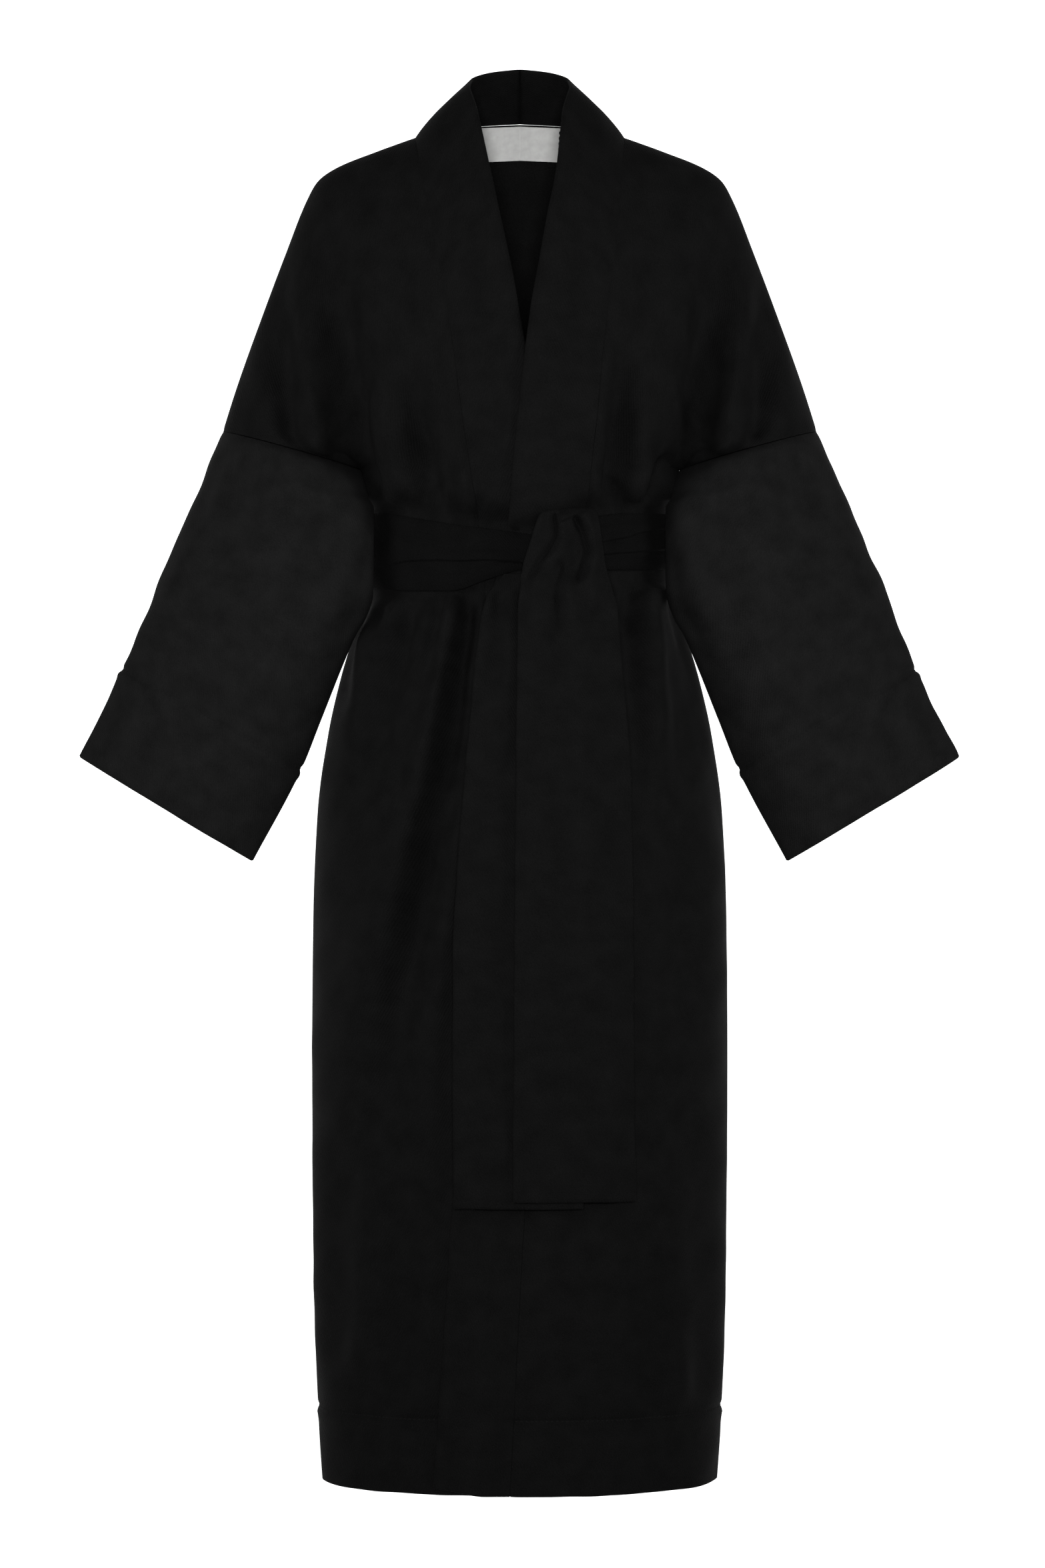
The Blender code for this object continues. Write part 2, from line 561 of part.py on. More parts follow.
def back_cloth(share, yoke_rows, body_rows):
    """Back panel from the right side seam to the left, with its folds, and its normals."""
    size = np.abs(share)
    sign = np.where(share < 0, -1.0, 1.0)
    on_neck = size < BACK_NECK_SHARE
    arm_share = np.clip((size - BACK_NECK_SHARE) / (1.0 - BACK_NECK_SHARE), 0.0, 1.0)
    neck = back_neck(np.clip(size / BACK_NECK_SHARE, 0.0, 1.0))
    top = np.where(on_neck[:, None], neck, shoulder_line(arm_share))
    low = underarm_row(np.pi - size * np.pi / 2, size)
    lean = BACK_NECK_LEAN * (1.0 - smoothstep(size, 0.5 * BACK_NECK_SHARE, BACK_NECK_SHARE))
    wrap = smoothstep(arm_share, ARM_WRAP_START, 1.0)
    upper = yoke(top, low, ARM_DEPTH, wrap, lean, yoke_rows)
    lower = oval(body_rows[:, None] + 0.0 * size, np.pi - size * np.pi / 2)
    cloth = np.concatenate((upper, lower))
    cloth[..., 0] *= sign
    out = grid_normals(cloth, 1.0)
    lift = fold_relief(cloth, BACK_FOLDS)
    lift[:len(yoke_rows)] *= armhole_calm(size)
    cloth = cloth + out * lift[..., None]
    return cloth, back_normals(cloth, len(yoke_rows), ~on_neck)


def back_normals(cloth, yoke_count, on_shoulder):
    """Normals of the back, squared up at the shoulders, armholes and side seams."""
    out = grid_normals(cloth, 1.0)
    along_y = np.array((0.0, 1.0, 0.0))
    out[0, on_shoulder] = flatten_normals(out[0, on_shoulder], along_y)
    for column, side in ((0, -1), (-1, 1)):
        arm_axis = ARM_AXIS * (side, 1, 1)
        out[yoke_count:, column] = flatten_normals(out[yoke_count:, column], along_y)
        out[:yoke_count, column] = ring_normals(cloth[:yoke_count, column], arm_axis)
        out[0, column] = flatten_normals(out[0, column], along_y)
        out[yoke_count - 1, column] = arm_axis
    return out


def sleeve_cloth(side, around, stations):
    """Sleeve tube from the armhole to the cuff, and its normals."""
    rows = np.asarray(stations)[:, None]
    angle = np.linspace(0.0, 2.0 * np.pi, around, endpoint=False)[None, :]
    part = {name: read(SLEEVE_RINGS, name, rows, "station") for name in Ring._fields[1:]}
    reach = 0.5 * (1.0 + np.cos(angle))
    x = blend(part["inner_x"], part["outer_x"], reach)
    z = blend(part["inner_z"], part["outer_z"], reach)
    middle = blend(part["inner_y"], part["outer_y"], reach)
    y = middle - part["depth"] * power(np.sin(angle), part["point"])
    cloth = stack(side * x, y, z)
    cloth[0] += SEAM * ARM_AXIS * (side, 1, 1)
    out = grid_normals(cloth, side, ring=True)
    cloth = cloth + out * sleeve_relief(rows, np.degrees(angle))[..., None]
    out = grid_normals(cloth, side, ring=True)
    out[0] = flatten_normals(out[0], ARM_AXIS * (side, 1, 1))
    return cloth, out


def sleeve_relief(station, degrees):
    """Long soft folds down the sleeve."""
    relief = np.zeros(np.broadcast_shapes(station.shape, degrees.shape))
    for fold in SLEEVE_FOLDS:
        across = (degrees - fold.angle) / fold.width
        span = fold.end - fold.start
        along = (station - fold.start) / span
        strength = smoothstep(along, *SLEEVE_FOLD_RISE) * (1.0 - smoothstep(along, *SLEEVE_FOLD_FALL))
        relief += fold.depth * strength * (1.0 - across ** 2) * np.exp(-0.5 * across ** 2)
    return relief


def sash_stretch(edges, splits, columns):
    """One stretch of the sash round the waist with its pleats, and its normals."""
    angle = np.linspace(edges[0].angle, edges[-1].angle, columns)
    top = read(edges, "top", angle, "angle")
    bottom = read(edges, "bottom", angle, "angle")
    bounds = (0.0,) + splits + (1.0,)
    share = [np.linspace(low, high, PLEAT_ROWS, endpoint=False) for low, high in zip(bounds, bounds[1:])]
    share = np.concatenate(share + [np.array([1.0])])[:, None]
    z = blend(top, bottom, share)
    base = oval(np.full(z.shape, WAIST_Z), np.radians(angle)[None, :] + 0.0 * z)
    base[..., 2] = z
    out = grid_normals(base, -1.0)
    out = flatten_normals(out, np.array((0.0, 0.0, 1.0)))
    pleat = np.zeros(share.shape)
    for low, high in zip(bounds, bounds[1:]):
        inside = (share > low) & (share < high)
        swell = np.sin(np.pi * np.clip((share - low) / (high - low), 0.0, 1.0))
        pleat += np.where(inside, np.abs(swell) ** PLEAT_ROUNDNESS, 0.0)
    front = np.cos(np.radians(angle)) > 0
    rise = np.where(front, sash_lap(base[..., 0], z), 0.0) + LAY + DOUBLE + BELT_PLEAT * pleat
    cloth = base + out * rise[..., None]
    return cloth, end_normals(cloth)


def end_normals(cloth):
    """Normals of a sash stretch whose ends are cut square across the belt."""
    out = grid_normals(cloth, -1.0)
    for column in (0, -1):
        outward = cloth[:, column] * (1.0, 1.0, 0.0)
        tangent = unit(np.cross(outward, (0.0, 0.0, 1.0)))
        out[:, column] = unit(out[:, column] - np.sum(out[:, column] * tangent, axis=-1)[:, None] * tangent)
    return out


def on_front(x, z, out):
    """Point that stands out from the smooth lapped front at a place in the front view."""
    angle = angle_at(x, z)
    base = oval(z, angle)
    half_width = read(SECTIONS, "half_width", z)
    front = read(SECTIONS, "front", z)
    slope_x = power(base[..., 0] / half_width, ROUNDNESS - 1.0) / half_width
    slope_y = power(base[..., 1] / front, ROUNDNESS - 1.0) / front
    way = unit(stack(slope_x, slope_y, 0.0 * slope_x))
    return base + way * (lap(x, z) + out)[..., None]


def tail_cloth(rows_table, row_count, columns, pleat_depth):
    """Sash tail that hangs in front of the skirt, and its normals."""
    knots = np.linspace(0.0, 1.0, len(rows_table))
    at = np.linspace(0.0, 1.0, row_count)[:, None]
    part = {name: through(knots, [getattr(row, name) for row in rows_table], at)
            for name in TailRow._fields}
    share = np.linspace(0.0, 1.0, columns)[None, :]
    x = blend(part["left"], part["right"], share)
    z = part["z"] + 0.0 * x
    fade = smoothstep(part["z"], KNOT_PLEAT_END, KNOT_PLEAT_FULL) * smoothstep(at, 0.0, KNOT_PLEAT_RISE)
    pleat = 0.5 - 0.5 * np.cos(2.0 * np.pi * KNOT_PLEATS * share)
    cloth = on_front(x, np.minimum(z, WAIST_Z), part["out"] + pleat_depth * fade * pleat)
    cloth[..., 2] = z
    return cloth, grid_normals(cloth, -1.0)


def label_cloth(columns, rows):
    """Label on the inner face of the back, just below the neckline, and its normals."""
    fall = np.linspace(*LABEL_FALL, rows)
    x = np.linspace(-LABEL_HALF_WIDTH, LABEL_HALF_WIDTH, columns)
    share = np.array([label_share(abs(value)) for value in x])
    low = underarm_row(np.pi - share * np.pi / 2, share)
    top = back_neck(share / BACK_NECK_SHARE)
    lean = BACK_NECK_LEAN * (1.0 - smoothstep(share, 0.5 * BACK_NECK_SHARE, BACK_NECK_SHARE))
    cloth = yoke(top, low, ARM_DEPTH, 0.0, lean, fall)
    cloth[..., 0] *= np.where(x < 0, -1.0, 1.0)
    lengths = np.linalg.norm(np.diff(cloth[:, columns // 2], axis=0), axis=1)
    reach = np.concatenate(([0.0], np.cumsum(lengths)))
    fall = np.interp(np.linspace(0.0, LABEL_HEIGHT, rows), reach, fall)
    cloth = yoke(top, low, ARM_DEPTH, 0.0, lean, fall)
    cloth[..., 0] *= np.where(x < 0, -1.0, 1.0)
    out = grid_normals(cloth, 1.0)
    return cloth - out * (CLOTH + LABEL_LAY), out


def label_share(x):
    """Share of the back's half width whose neckline point lies at x."""
    shares = np.linspace(0.0, BACK_NECK_SHARE, NECK_SAMPLES)
    return float(np.interp(x, back_neck(shares / BACK_NECK_SHARE)[:, 0], shares))


def wall(name, outer, out, thickness, material, ring=False):
    """Closed cloth wall whose outer face is the grid and whose inner face lies the thickness in."""
    rows, columns = outer.shape[:2]
    inner = outer - out * thickness
    points = np.concatenate((outer.reshape(-1, 3), inner.reshape(-1, 3)))
    back = rows * columns
    faces = []
    last = columns if ring else columns - 1
    for row in range(rows - 1):
        for column in range(last):
            beside = (column + 1) % columns
            a = row * columns + column
            b = row * columns + beside
            c = b + columns
            d = a + columns
            faces.append((a, b, c, d))
            faces.append((a + back, d + back, c + back, b + back))
    for row in (0, rows - 1):
        for column in range(last):
            a = row * columns + column
            b = row * columns + (column + 1) % columns
            faces.append((a, a + back, b + back, b))
    for column in () if ring else (0, columns - 1):
        for row in range(rows - 1):
            a = row * columns + column
            b = a + columns
            faces.append((a, b, b + back, a + back))
    mesh = bpy.data.meshes.new(name)
    mesh.from_pydata(points.tolist(), [], faces)
    shape = bmesh.new()
    shape.from_mesh(mesh)
    bmesh.ops.recalc_face_normals(shape, faces=shape.faces)
    shape.to_mesh(mesh)
    shape.free()
    mesh.materials.append(material)
    mesh.shade_smooth()
    piece = bpy.data.objects.new(name, mesh)
    bpy.context.scene.collection.objects.link(piece)
    return piece


def part_at_seam(cloth, column, way):
    """Copy of a grid with one edge column drawn back from its seam by half the seam's space."""
    moved = cloth.copy()
    drawn = unit(cloth[:, column + way] - cloth[:, column])
    moved[:, column] += 0.5 * SEAM * drawn
    return moved


def hem_thickness(rows, columns):
    """Thickness of a panel's rows: double in the turned hem."""
    z = np.concatenate((np.zeros(YOKE_ROWS), rows))[:, None, None]
    return np.where(z < HEM_Z + HEM_DEPTH, DOUBLE, CLOTH) + np.zeros((1, columns, 1))


def colour(name, value, roughness):
    """Plain material."""
    material = bpy.data.materials.new(name)
    material.use_nodes = True
    surface = material.node_tree.nodes["Principled BSDF"]
    surface.inputs["Base Color"].default_value = (*value, 1.0)
    surface.inputs["Roughness"].default_value = roughness
    return material


def build_front(side, word, neck_out, wool):
    """Front panel and its half of the neckband."""
    yoke_rows = np.linspace(0.0, 1.0, YOKE_ROWS)
    body_rows = np.array(BODY_ROWS)
    cloth, out = front_cloth(side, FRONT_COLUMNS, BAND_COLUMNS, yoke_rows, body_rows)
    panel = part_at_seam(cloth[:, BAND_COLUMNS:], 0, 1)
    panel[0, :, 1] = -0.5 * SEAM
    panel[YOKE_ROWS - 1:, -1, 1] = -0.5 * SEAM
    wall("front_" + word, panel, out[:, BAND_COLUMNS:], hem_thickness(body_rows, FRONT_COLUMNS), wool)
    front = slice(0, BAND_COLUMNS + 1)
    band, band_out = whole_band(side, cloth[:, front], out[:, front], neck_out * (side, 1, 1))
    wall("band_" + word, band, band_out, DOUBLE, wool)


def whole_band(side, front, front_out, neck_out):
    """Half of the neckband from the centre back to the hem, and its normals.

    Its seam shares the normals of the panels that it is sewn to.
    """
    back_rows = len(neck_out) - 1
    stations = np.linspace(0.0, 1.0, back_rows, endpoint=False)
    strip = band_strip(back_neck(stations), neck_edge(side, stations), front.shape[1] - 1)
    strip[..., 0] *= side
    band = np.concatenate((strip, front))
    out = grid_normals(band, -side)
    out[:back_rows + 1, -1] = neck_out
    out[back_rows + 1:, -1] = front_out[1:, -1]
    out[0] = flatten_normals(out[0], np.array((1.0, 0.0, 0.0)))
    band = part_at_seam(band, -1, -1)
    neck_rows = slice(0, back_rows + 2)
    drawn = unit(band[neck_rows, -2] - band[neck_rows, -1])
    band[neck_rows, -1] += 0.5 * (NECK_SEAM - SEAM) * drawn
    band[0, :, 0] = side * 0.5 * SEAM
    if side > 0:
        free = np.linspace(1.0, 0.0, front.shape[1])
        near_hem = smoothstep(-band[..., 2], -HEM_Z - CORNER_HEIGHT, -HEM_Z)
        band[..., 2] += CORNER_RISE * smoothstep(free, CORNER_START, 1.0) * near_hem
    return band, out


def neck_normals(back_out):
    """Normals that the back and the band share along the left half of the neckline."""
    stations = np.linspace(0.0, 1.0, BACK_NECK_COLUMNS + 1)
    strip = band_strip(back_neck(stations), neck_edge(1, stations), BAND_COLUMNS)
    middle = len(back_out) // 2
    out = unit(grid_normals(strip, -1.0)[:, -1] + back_out[middle:middle + len(stations)])
    for _ in range(NECK_EASING):
        out[1:-1] = unit(out[:-2] + 2.0 * out[1:-1] + out[2:])
    out[0] = flatten_normals(out[0], np.array((1.0, 0.0, 0.0)))
    out[-1] = flatten_normals(out[-1], np.array((0.0, 1.0, 0.0)))
    return out


def build_back(wool):
    """Back panel in one piece; gives back its normals along the left half of the neckline."""
    body_rows = np.array(BODY_ROWS)
    share = back_shares(BACK_NECK_COLUMNS, BACK_ARM_COLUMNS)
    cloth, out = back_cloth(share, np.linspace(0.0, 1.0, YOKE_ROWS), body_rows)
    shoulder = np.abs(share) >= BACK_NECK_SHARE
    drawn = unit(cloth[1] - cloth[0])
    cloth[0] += 0.5 * NECK_SEAM * drawn
    cloth[0, shoulder, 1] = 0.5 * SEAM
    cloth[YOKE_ROWS - 1:, 0, 1] = 0.5 * SEAM
    cloth[YOKE_ROWS - 1:, -1, 1] = 0.5 * SEAM
    neck_out = neck_normals(out[0])
    middle = len(share) // 2
    out[0, middle:middle + len(neck_out)] = neck_out
    out[0, middle - len(neck_out) + 1:middle + 1] = neck_out[::-1] * (-1, 1, 1)
    wall("back", cloth, out, hem_thickness(body_rows, len(share)), wool)
    return neck_out


def build_sleeve(side, word, wool):
    """Sleeve with its deep turned hem."""
    cloth, out = sleeve_cloth(side, SLEEVE_AROUND, SLEEVE_ROWS)
    station = np.array(SLEEVE_ROWS)[:, None, None]
    thickness = np.where(station > CUFF_STATION, DOUBLE, CLOTH)
    wall("sleeve_" + word, cloth, out, thickness, wool, ring=True)


def build_sash(wool):
    """Three stretches round the waist and the two tails."""
    half_gap = math.degrees(0.5 * SEAM / WAIST_RADIUS)
    for name, edges, splits, columns in STRETCHES:
        trimmed = list(edges)
        trimmed[0] = edges[0]._replace(angle=edges[0].angle + half_gap)
        trimmed[-1] = edges[-1]._replace(angle=edges[-1].angle - half_gap)
        cloth, out = sash_stretch(trimmed, splits, columns)
        wall(name, cloth, out, DOUBLE, wool)
    for name, table, pleat in (("tail_over", TAIL_OVER, KNOT_PLEAT_DEPTH), ("tail_under", TAIL_UNDER, 0.0)):
        cloth, out = tail_cloth(table, TAIL_ROWS, TAIL_COLUMNS, pleat)
        wall(name, cloth, out, DOUBLE, wool)


def main():
    """Build every piece of the robe."""
    for old in list(bpy.data.objects):
        bpy.data.objects.remove(old)
    wool = colour("wool", WOOL_COLOUR, WOOL_ROUGHNESS)
    satin = colour("label_satin", SATIN_COLOUR, SATIN_ROUGHNESS)
    neck_out = build_back(wool)
    for side, word in ((-1, "right"), (1, "left")):
        build_front(side, word, neck_out, wool)
        build_sleeve(side, word, wool)
    build_sash(wool)
    cloth, out = label_cloth(LABEL_COLUMNS, LABEL_ROWS)
    wall("neck_label", cloth, out, LABEL_CLOTH, satin)


main()
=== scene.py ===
"""Wool wrap robe with a sash, dressed over its solids: finer folds, seams, stitching and finishes.

Metres, +Z up, the front faces -Y and the wearer's left is +X, as in the solids. Every cloth piece
is a thin closed shell on the same surface as its solid, on a finer grid and with smaller creases.
"""

from collections import namedtuple
import math

import bmesh
import bpy
import numpy as np
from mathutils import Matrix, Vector


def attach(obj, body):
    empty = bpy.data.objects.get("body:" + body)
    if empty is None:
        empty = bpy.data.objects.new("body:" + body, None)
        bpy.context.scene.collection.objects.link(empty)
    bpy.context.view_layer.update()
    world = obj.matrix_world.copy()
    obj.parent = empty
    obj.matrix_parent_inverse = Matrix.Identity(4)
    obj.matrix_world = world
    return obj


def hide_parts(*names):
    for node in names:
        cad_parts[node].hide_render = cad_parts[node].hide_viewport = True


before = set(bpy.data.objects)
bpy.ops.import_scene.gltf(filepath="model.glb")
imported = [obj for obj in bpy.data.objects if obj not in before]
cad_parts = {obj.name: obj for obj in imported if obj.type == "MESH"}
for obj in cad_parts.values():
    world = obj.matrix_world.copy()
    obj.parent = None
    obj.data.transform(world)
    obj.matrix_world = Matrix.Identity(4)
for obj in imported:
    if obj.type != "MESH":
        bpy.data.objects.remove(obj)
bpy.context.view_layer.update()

bl_info = {
    "name": "Wool Wrap Robe",
    "version": (1, 0, 0),
    "blender": (4, 5, 0),
    "location": "3D View > Sidebar > Robe",
    "description": "Cuts, folds and sews a wool wrap robe with a sash, and sets its studio",
    "category": "Object",
}

BODY = "root"
ALONG_X, ALONG_Y, ALONG_Z = np.eye(3)

# Cloth thicknesses and the open space between pieces
CLOTH = 0.0020          # one layer of napped wool twill
DOUBLE = 0.0032         # two pressed layers: neckband, sash and turned hems
LABEL_CLOTH = 0.0010    # folded satin
SEAM = 0.0003           # left open at every seam
NECK_SEAM = 0.0006      # left open at the back neck, where the band turns up sharply
LAY = 0.0005            # left open under a piece that lies on another
LAP_LIFT = 0.0060       # how far the over front stands off the under front

LAP_FADE = (0.005, 0.065)       # where that ends, past the under front's free edge
LAP_START = (0.110, 0.185)      # where it begins, below the shoulders
LAP_NEST = (0.008, 0.026)       # how far past the lap the folds fade to nothing
SASH_STEP = 0.050               # width over which the sash comes down past the over front's edge

# Main heights
UNDERARM_Z = -0.308
HEM_Z = -1.240
HEM_DEPTH = 0.067
HEM_LINE_Z = HEM_Z + HEM_DEPTH
WAIST_Z = -0.384
SASH_PRESS_LOW = (-0.438, -0.427)     # between these heights the sash presses the cloth smooth
SASH_PRESS_HIGH = (0.330, 0.343)

# Body sections below the underarm: half width, and depth in front of and behind the side seams
Section = namedtuple("Section", "z half_width front back")
SECTIONS = (
    Section(-0.308, 0.1470, 0.118, 0.104),
    Section(-0.322, 0.1455, 0.116, 0.103),
    Section(-0.336, 0.1425, 0.104, 0.096),
    Section(-0.345, 0.1370, 0.091, 0.087),
    Section(-0.4255, 0.1370, 0.091, 0.087),
    Section(-0.434, 0.1410, 0.099, 0.094),
    Section(-0.452, 0.1490, 0.109, 0.105),
    Section(-0.471, 0.1570, 0.115, 0.112),
    Section(-0.502, 0.1663, 0.120, 0.119),
    Section(-0.552, 0.1775, 0.127, 0.128),
    Section(-0.626, 0.1875, 0.133, 0.134),
    Section(-0.725, 0.1915, 0.137, 0.137),
    Section(-0.849, 0.1925, 0.139, 0.138),
    Section(-1.071, 0.1905, 0.140, 0.137),
    Section(-1.195, 0.1860, 0.139, 0.136),
    Section(HEM_Z, 0.1830, 0.138, 0.135),
)
ROUNDNESS = 2.2         # 2 is an ellipse, more is squarer

# Shoulder line from the neck point over the shoulder and down the arm to the sleeve seam (y = 0)
ShoulderPoint = namedtuple("ShoulderPoint", "x z")
SHOULDER = (
    ShoulderPoint(0.0970, 0.0000),
    ShoulderPoint(0.1330, -0.0130),
    ShoulderPoint(0.1700, -0.0280),
    ShoulderPoint(0.1870, -0.0400),
    ShoulderPoint(0.1970, -0.0570),
    ShoulderPoint(0.2170, -0.1070),
    ShoulderPoint(0.2355, -0.1560),
    ShoulderPoint(0.2620, -0.2300),
    ShoulderPoint(0.2755, -0.2725),
)
UNDERARM_X = 0.148      # the underarm point stands off the side so that sleeve and side stay apart
ARM_DEPTH = 0.060       # half depth of the armhole
ARM_WRAP_START = 0.30   # share of the shoulder from which the cloth bends round the arm
UNDERARM_REACH_START = 0.86
ARM_AXIS = np.array((0.268, 0.0, -0.963))   # the way the sleeve leaves the left armhole

# Back neckline from the centre back to the neck point
NeckPoint = namedtuple("NeckPoint", "x y z")
BACK_NECK = (
    NeckPoint(0.000, 0.078, 0.022),
    NeckPoint(0.045, 0.071, 0.019),
    NeckPoint(0.080, 0.042, 0.010),
    NeckPoint(0.097, 0.000, 0.000),
)
BACK_NECK_SHARE = 0.24  # share of the half back panel's columns that end on the neckline
BACK_NECK_LEAN = 0.6    # how straight the upper back leaves the neckline

# Front edges, measured from the centre front towards each panel's own side
SeamRow = namedtuple("SeamRow", "z over under")
BAND_SEAM = (
    SeamRow(0.0000, 0.0970, 0.0970),
    SeamRow(-0.0600, 0.0920, 0.0860),
    SeamRow(-0.1745, 0.0797, 0.0650),
    SeamRow(-0.2850, 0.0663, 0.0488),
    SeamRow(-0.3500, 0.0590, 0.0392),
    SeamRow(-0.4218, 0.0440, 0.0320),
    SeamRow(-0.9860, 0.0044, 0.0010),
    SeamRow(HEM_Z, -0.0087, -0.0097),
)
FreeRow = namedtuple("FreeRow", "z over under")
BAND_FREE = (
    FreeRow(-0.2250, 0.0037, -0.0085),
    FreeRow(-0.3156, -0.0058, -0.0215),
    FreeRow(-0.3606, -0.0093, -0.0285),
    FreeRow(-0.4218, -0.0225, -0.0340),
    FreeRow(-0.9840, -0.0593, -0.0640),
    FreeRow(HEM_Z, -0.0762, -0.0760),
)
# Free edge round the neck: station 0 is the centre back, 1 the neck point, 2 the underarm row
NeckEdge = namedtuple("NeckEdge", "station over_x under_x y z")
NECK_EDGE = (
    NeckEdge(0.00, 0.0000, 0.0000, 0.0600, 0.0715),
    NeckEdge(0.35, 0.0300, 0.0300, 0.0530, 0.0672),
    NeckEdge(0.72, 0.0460, 0.0460, 0.0300, 0.0580),
    NeckEdge(1.00, 0.0475, 0.0475, -0.0060, 0.0480),
    NeckEdge(1.28, 0.0405, 0.0400, -0.0380, 0.0220),
    NeckEdge(1.45, 0.0350, 0.0290, -0.0640, -0.0280),
    NeckEdge(1.60, 0.0230, 0.0150, -0.0870, -0.0950),
    NeckEdge(1.715, 0.0115, 0.0015, -0.1020, -0.1650),
    NeckEdge(1.83, 0.0037, -0.0085, -0.1110, -0.2250),
    NeckEdge(1.92, -0.0010, -0.0150, -0.1150, -0.2694),
)
BAND_ROLL = 0.0035      # how far the band's middle stands out from the line between its edges
CORNER_RISE = 0.006     # the over band's hem corner hangs a little high
CORNER_HEIGHT = 0.06    # height over which it does, and the share of the band's width from its seam
CORNER_START = 0.3

# Largest folds, as lines in the front view from the strong end to the end where they fade
FOLD_SPREAD = 0.7               # how much wider a fold gets towards its end
FOLD_SIDE_FADE = (0.004, 0.040) # folds fade this near to the side seams
FOLD_RISE = (-0.12, 0.06)       # shares of a fold's length over which it sets in and fades out
FOLD_FALL = (0.35, 1.0)
Fold = namedtuple("Fold", "root_x root_z tip_x tip_z depth width")
FRONT_FOLDS = (
    Fold(-0.146, -0.285, -0.176, -0.060, -0.0120, 0.0150),   # right armpit
    Fold(0.156, -0.285, 0.190, -0.070, -0.0120, 0.0150),     # left armpit
    Fold(-0.074, -0.340, -0.111, -0.210, -0.0075, 0.0105),   # right chest
    Fold(-0.103, -0.338, -0.101, -0.290, -0.0040, 0.0080),
    Fold(0.078, -0.338, 0.099, -0.180, -0.0075, 0.0105),     # left chest
    Fold(0.112, -0.338, 0.150, -0.285, -0.0060, 0.0090),
    Fold(-0.041, -0.430, -0.132, -0.960, -0.0150, 0.0160),   # main skirt fold beside the tails
    Fold(-0.086, -0.432, -0.134, -0.680, -0.0060, 0.0150),
    Fold(-0.118, -0.430, -0.143, -0.470, -0.0045, 0.0090),
    Fold(0.090, -0.430, 0.098, -0.620, -0.0070, 0.0120),     # right of the tails
    Fold(0.104, -0.425, 0.122, -0.990, 0.0060, 0.0200),
    Fold(0.116, -0.430, 0.152, -0.500, 0.0050, 0.0110),
    Fold(0.138, -0.640, 0.150, -0.890, -0.0045, 0.0180),
    Fold(-0.135, -1.160, -0.090, -1.010, -0.0035, 0.0200),
)
BACK_FOLDS = (
    Fold(-0.086, -0.338, -0.104, -0.170, -0.0075, 0.0120),
    Fold(-0.030, -0.340, -0.040, -0.230, -0.0060, 0.0110),
    Fold(0.036, -0.340, 0.052, -0.200, -0.0070, 0.0120),
    Fold(0.092, -0.338, 0.106, -0.180, -0.0065, 0.0120),
    Fold(-0.150, -0.285, -0.185, -0.070, -0.0100, 0.0160),
    Fold(0.150, -0.285, 0.185, -0.070, -0.0100, 0.0160),
    Fold(-0.098, -0.430, -0.132, -0.820, -0.0110, 0.0170),
    Fold(-0.026, -0.430, -0.034, -0.900, -0.0120, 0.0180),
    Fold(0.048, -0.430, 0.070, -0.760, -0.0100, 0.0170),
    Fold(0.108, -0.430, 0.140, -0.700, -0.0080, 0.0160),
)

# Sleeve rings from the armhole to the cuff: outer and inner edge, half depth and how pointed the edges are
Ring = namedtuple("Ring", "station outer_x outer_y outer_z inner_x inner_y inner_z depth point")
SLEEVE_RINGS = (
    Ring(0.000, 0.2755, 0.000, -0.2725, 0.1472, 0.000, -0.3080, 0.0600, 1.00),
    Ring(0.020, 0.2785, -0.001, -0.2795, 0.1450, -0.026, -0.3150, 0.0600, 1.03),
    Ring(0.040, 0.2815, -0.001, -0.2865, 0.1428, -0.036, -0.3220, 0.0600, 1.06),
    Ring(0.080, 0.2873, -0.002, -0.3005, 0.1390, -0.042, -0.3360, 0.0595, 1.14),
    Ring(0.110, 0.2917, -0.003, -0.3110, 0.1340, -0.049, -0.3450, 0.0590, 1.20),
    Ring(0.165, 0.2998, -0.004, -0.3300, 0.1335, -0.053, -0.3650, 0.0575, 1.25),
    Ring(0.250, 0.3115, -0.007, -0.3575, 0.1335, -0.054, -0.4000, 0.0555, 1.25),
    Ring(0.310, 0.3195, -0.010, -0.3765, 0.1345, -0.053, -0.4250, 0.0540, 1.22),
    Ring(0.360, 0.3262, -0.012, -0.3920, 0.1405, -0.049, -0.4450, 0.0530, 1.18),
    Ring(0.400, 0.3318, -0.014, -0.4050, 0.1505, -0.045, -0.4620, 0.0520, 1.14),
    Ring(0.445, 0.3368, -0.016, -0.4170, 0.1585, -0.044, -0.4800, 0.0500, 1.12),
    Ring(0.600, 0.3522, -0.022, -0.4580, 0.1825, -0.043, -0.5400, 0.0450, 1.12),
    Ring(0.720, 0.3662, -0.027, -0.4930, 0.2005, -0.043, -0.5850, 0.0400, 1.18),
    Ring(1.000, 0.4050, -0.036, -0.5730, 0.2450, -0.045, -0.6690, 0.0280, 1.30),
)
CUFF_STATION = 0.72     # the stitched line of the deep turned hem
# Long soft folds of the sleeves: place round the ring (0 outer edge, 90 front), depth and width
SLEEVE_FOLD_RISE = (0.0, 0.25)  # shares of a sleeve fold over which it sets in and fades out
SLEEVE_FOLD_FALL = (0.55, 1.0)
SleeveFold = namedtuple("SleeveFold", "angle start end depth width")
SLEEVE_FOLDS = (
    SleeveFold(58.0, 0.00, 0.62, -0.0045, 13.0),
    SleeveFold(118.0, 0.00, 0.50, -0.0055, 12.0),
    SleeveFold(86.0, 0.45, 1.00, -0.0030, 14.0),
    SleeveFold(265.0, 0.00, 0.60, -0.0055, 14.0),
)

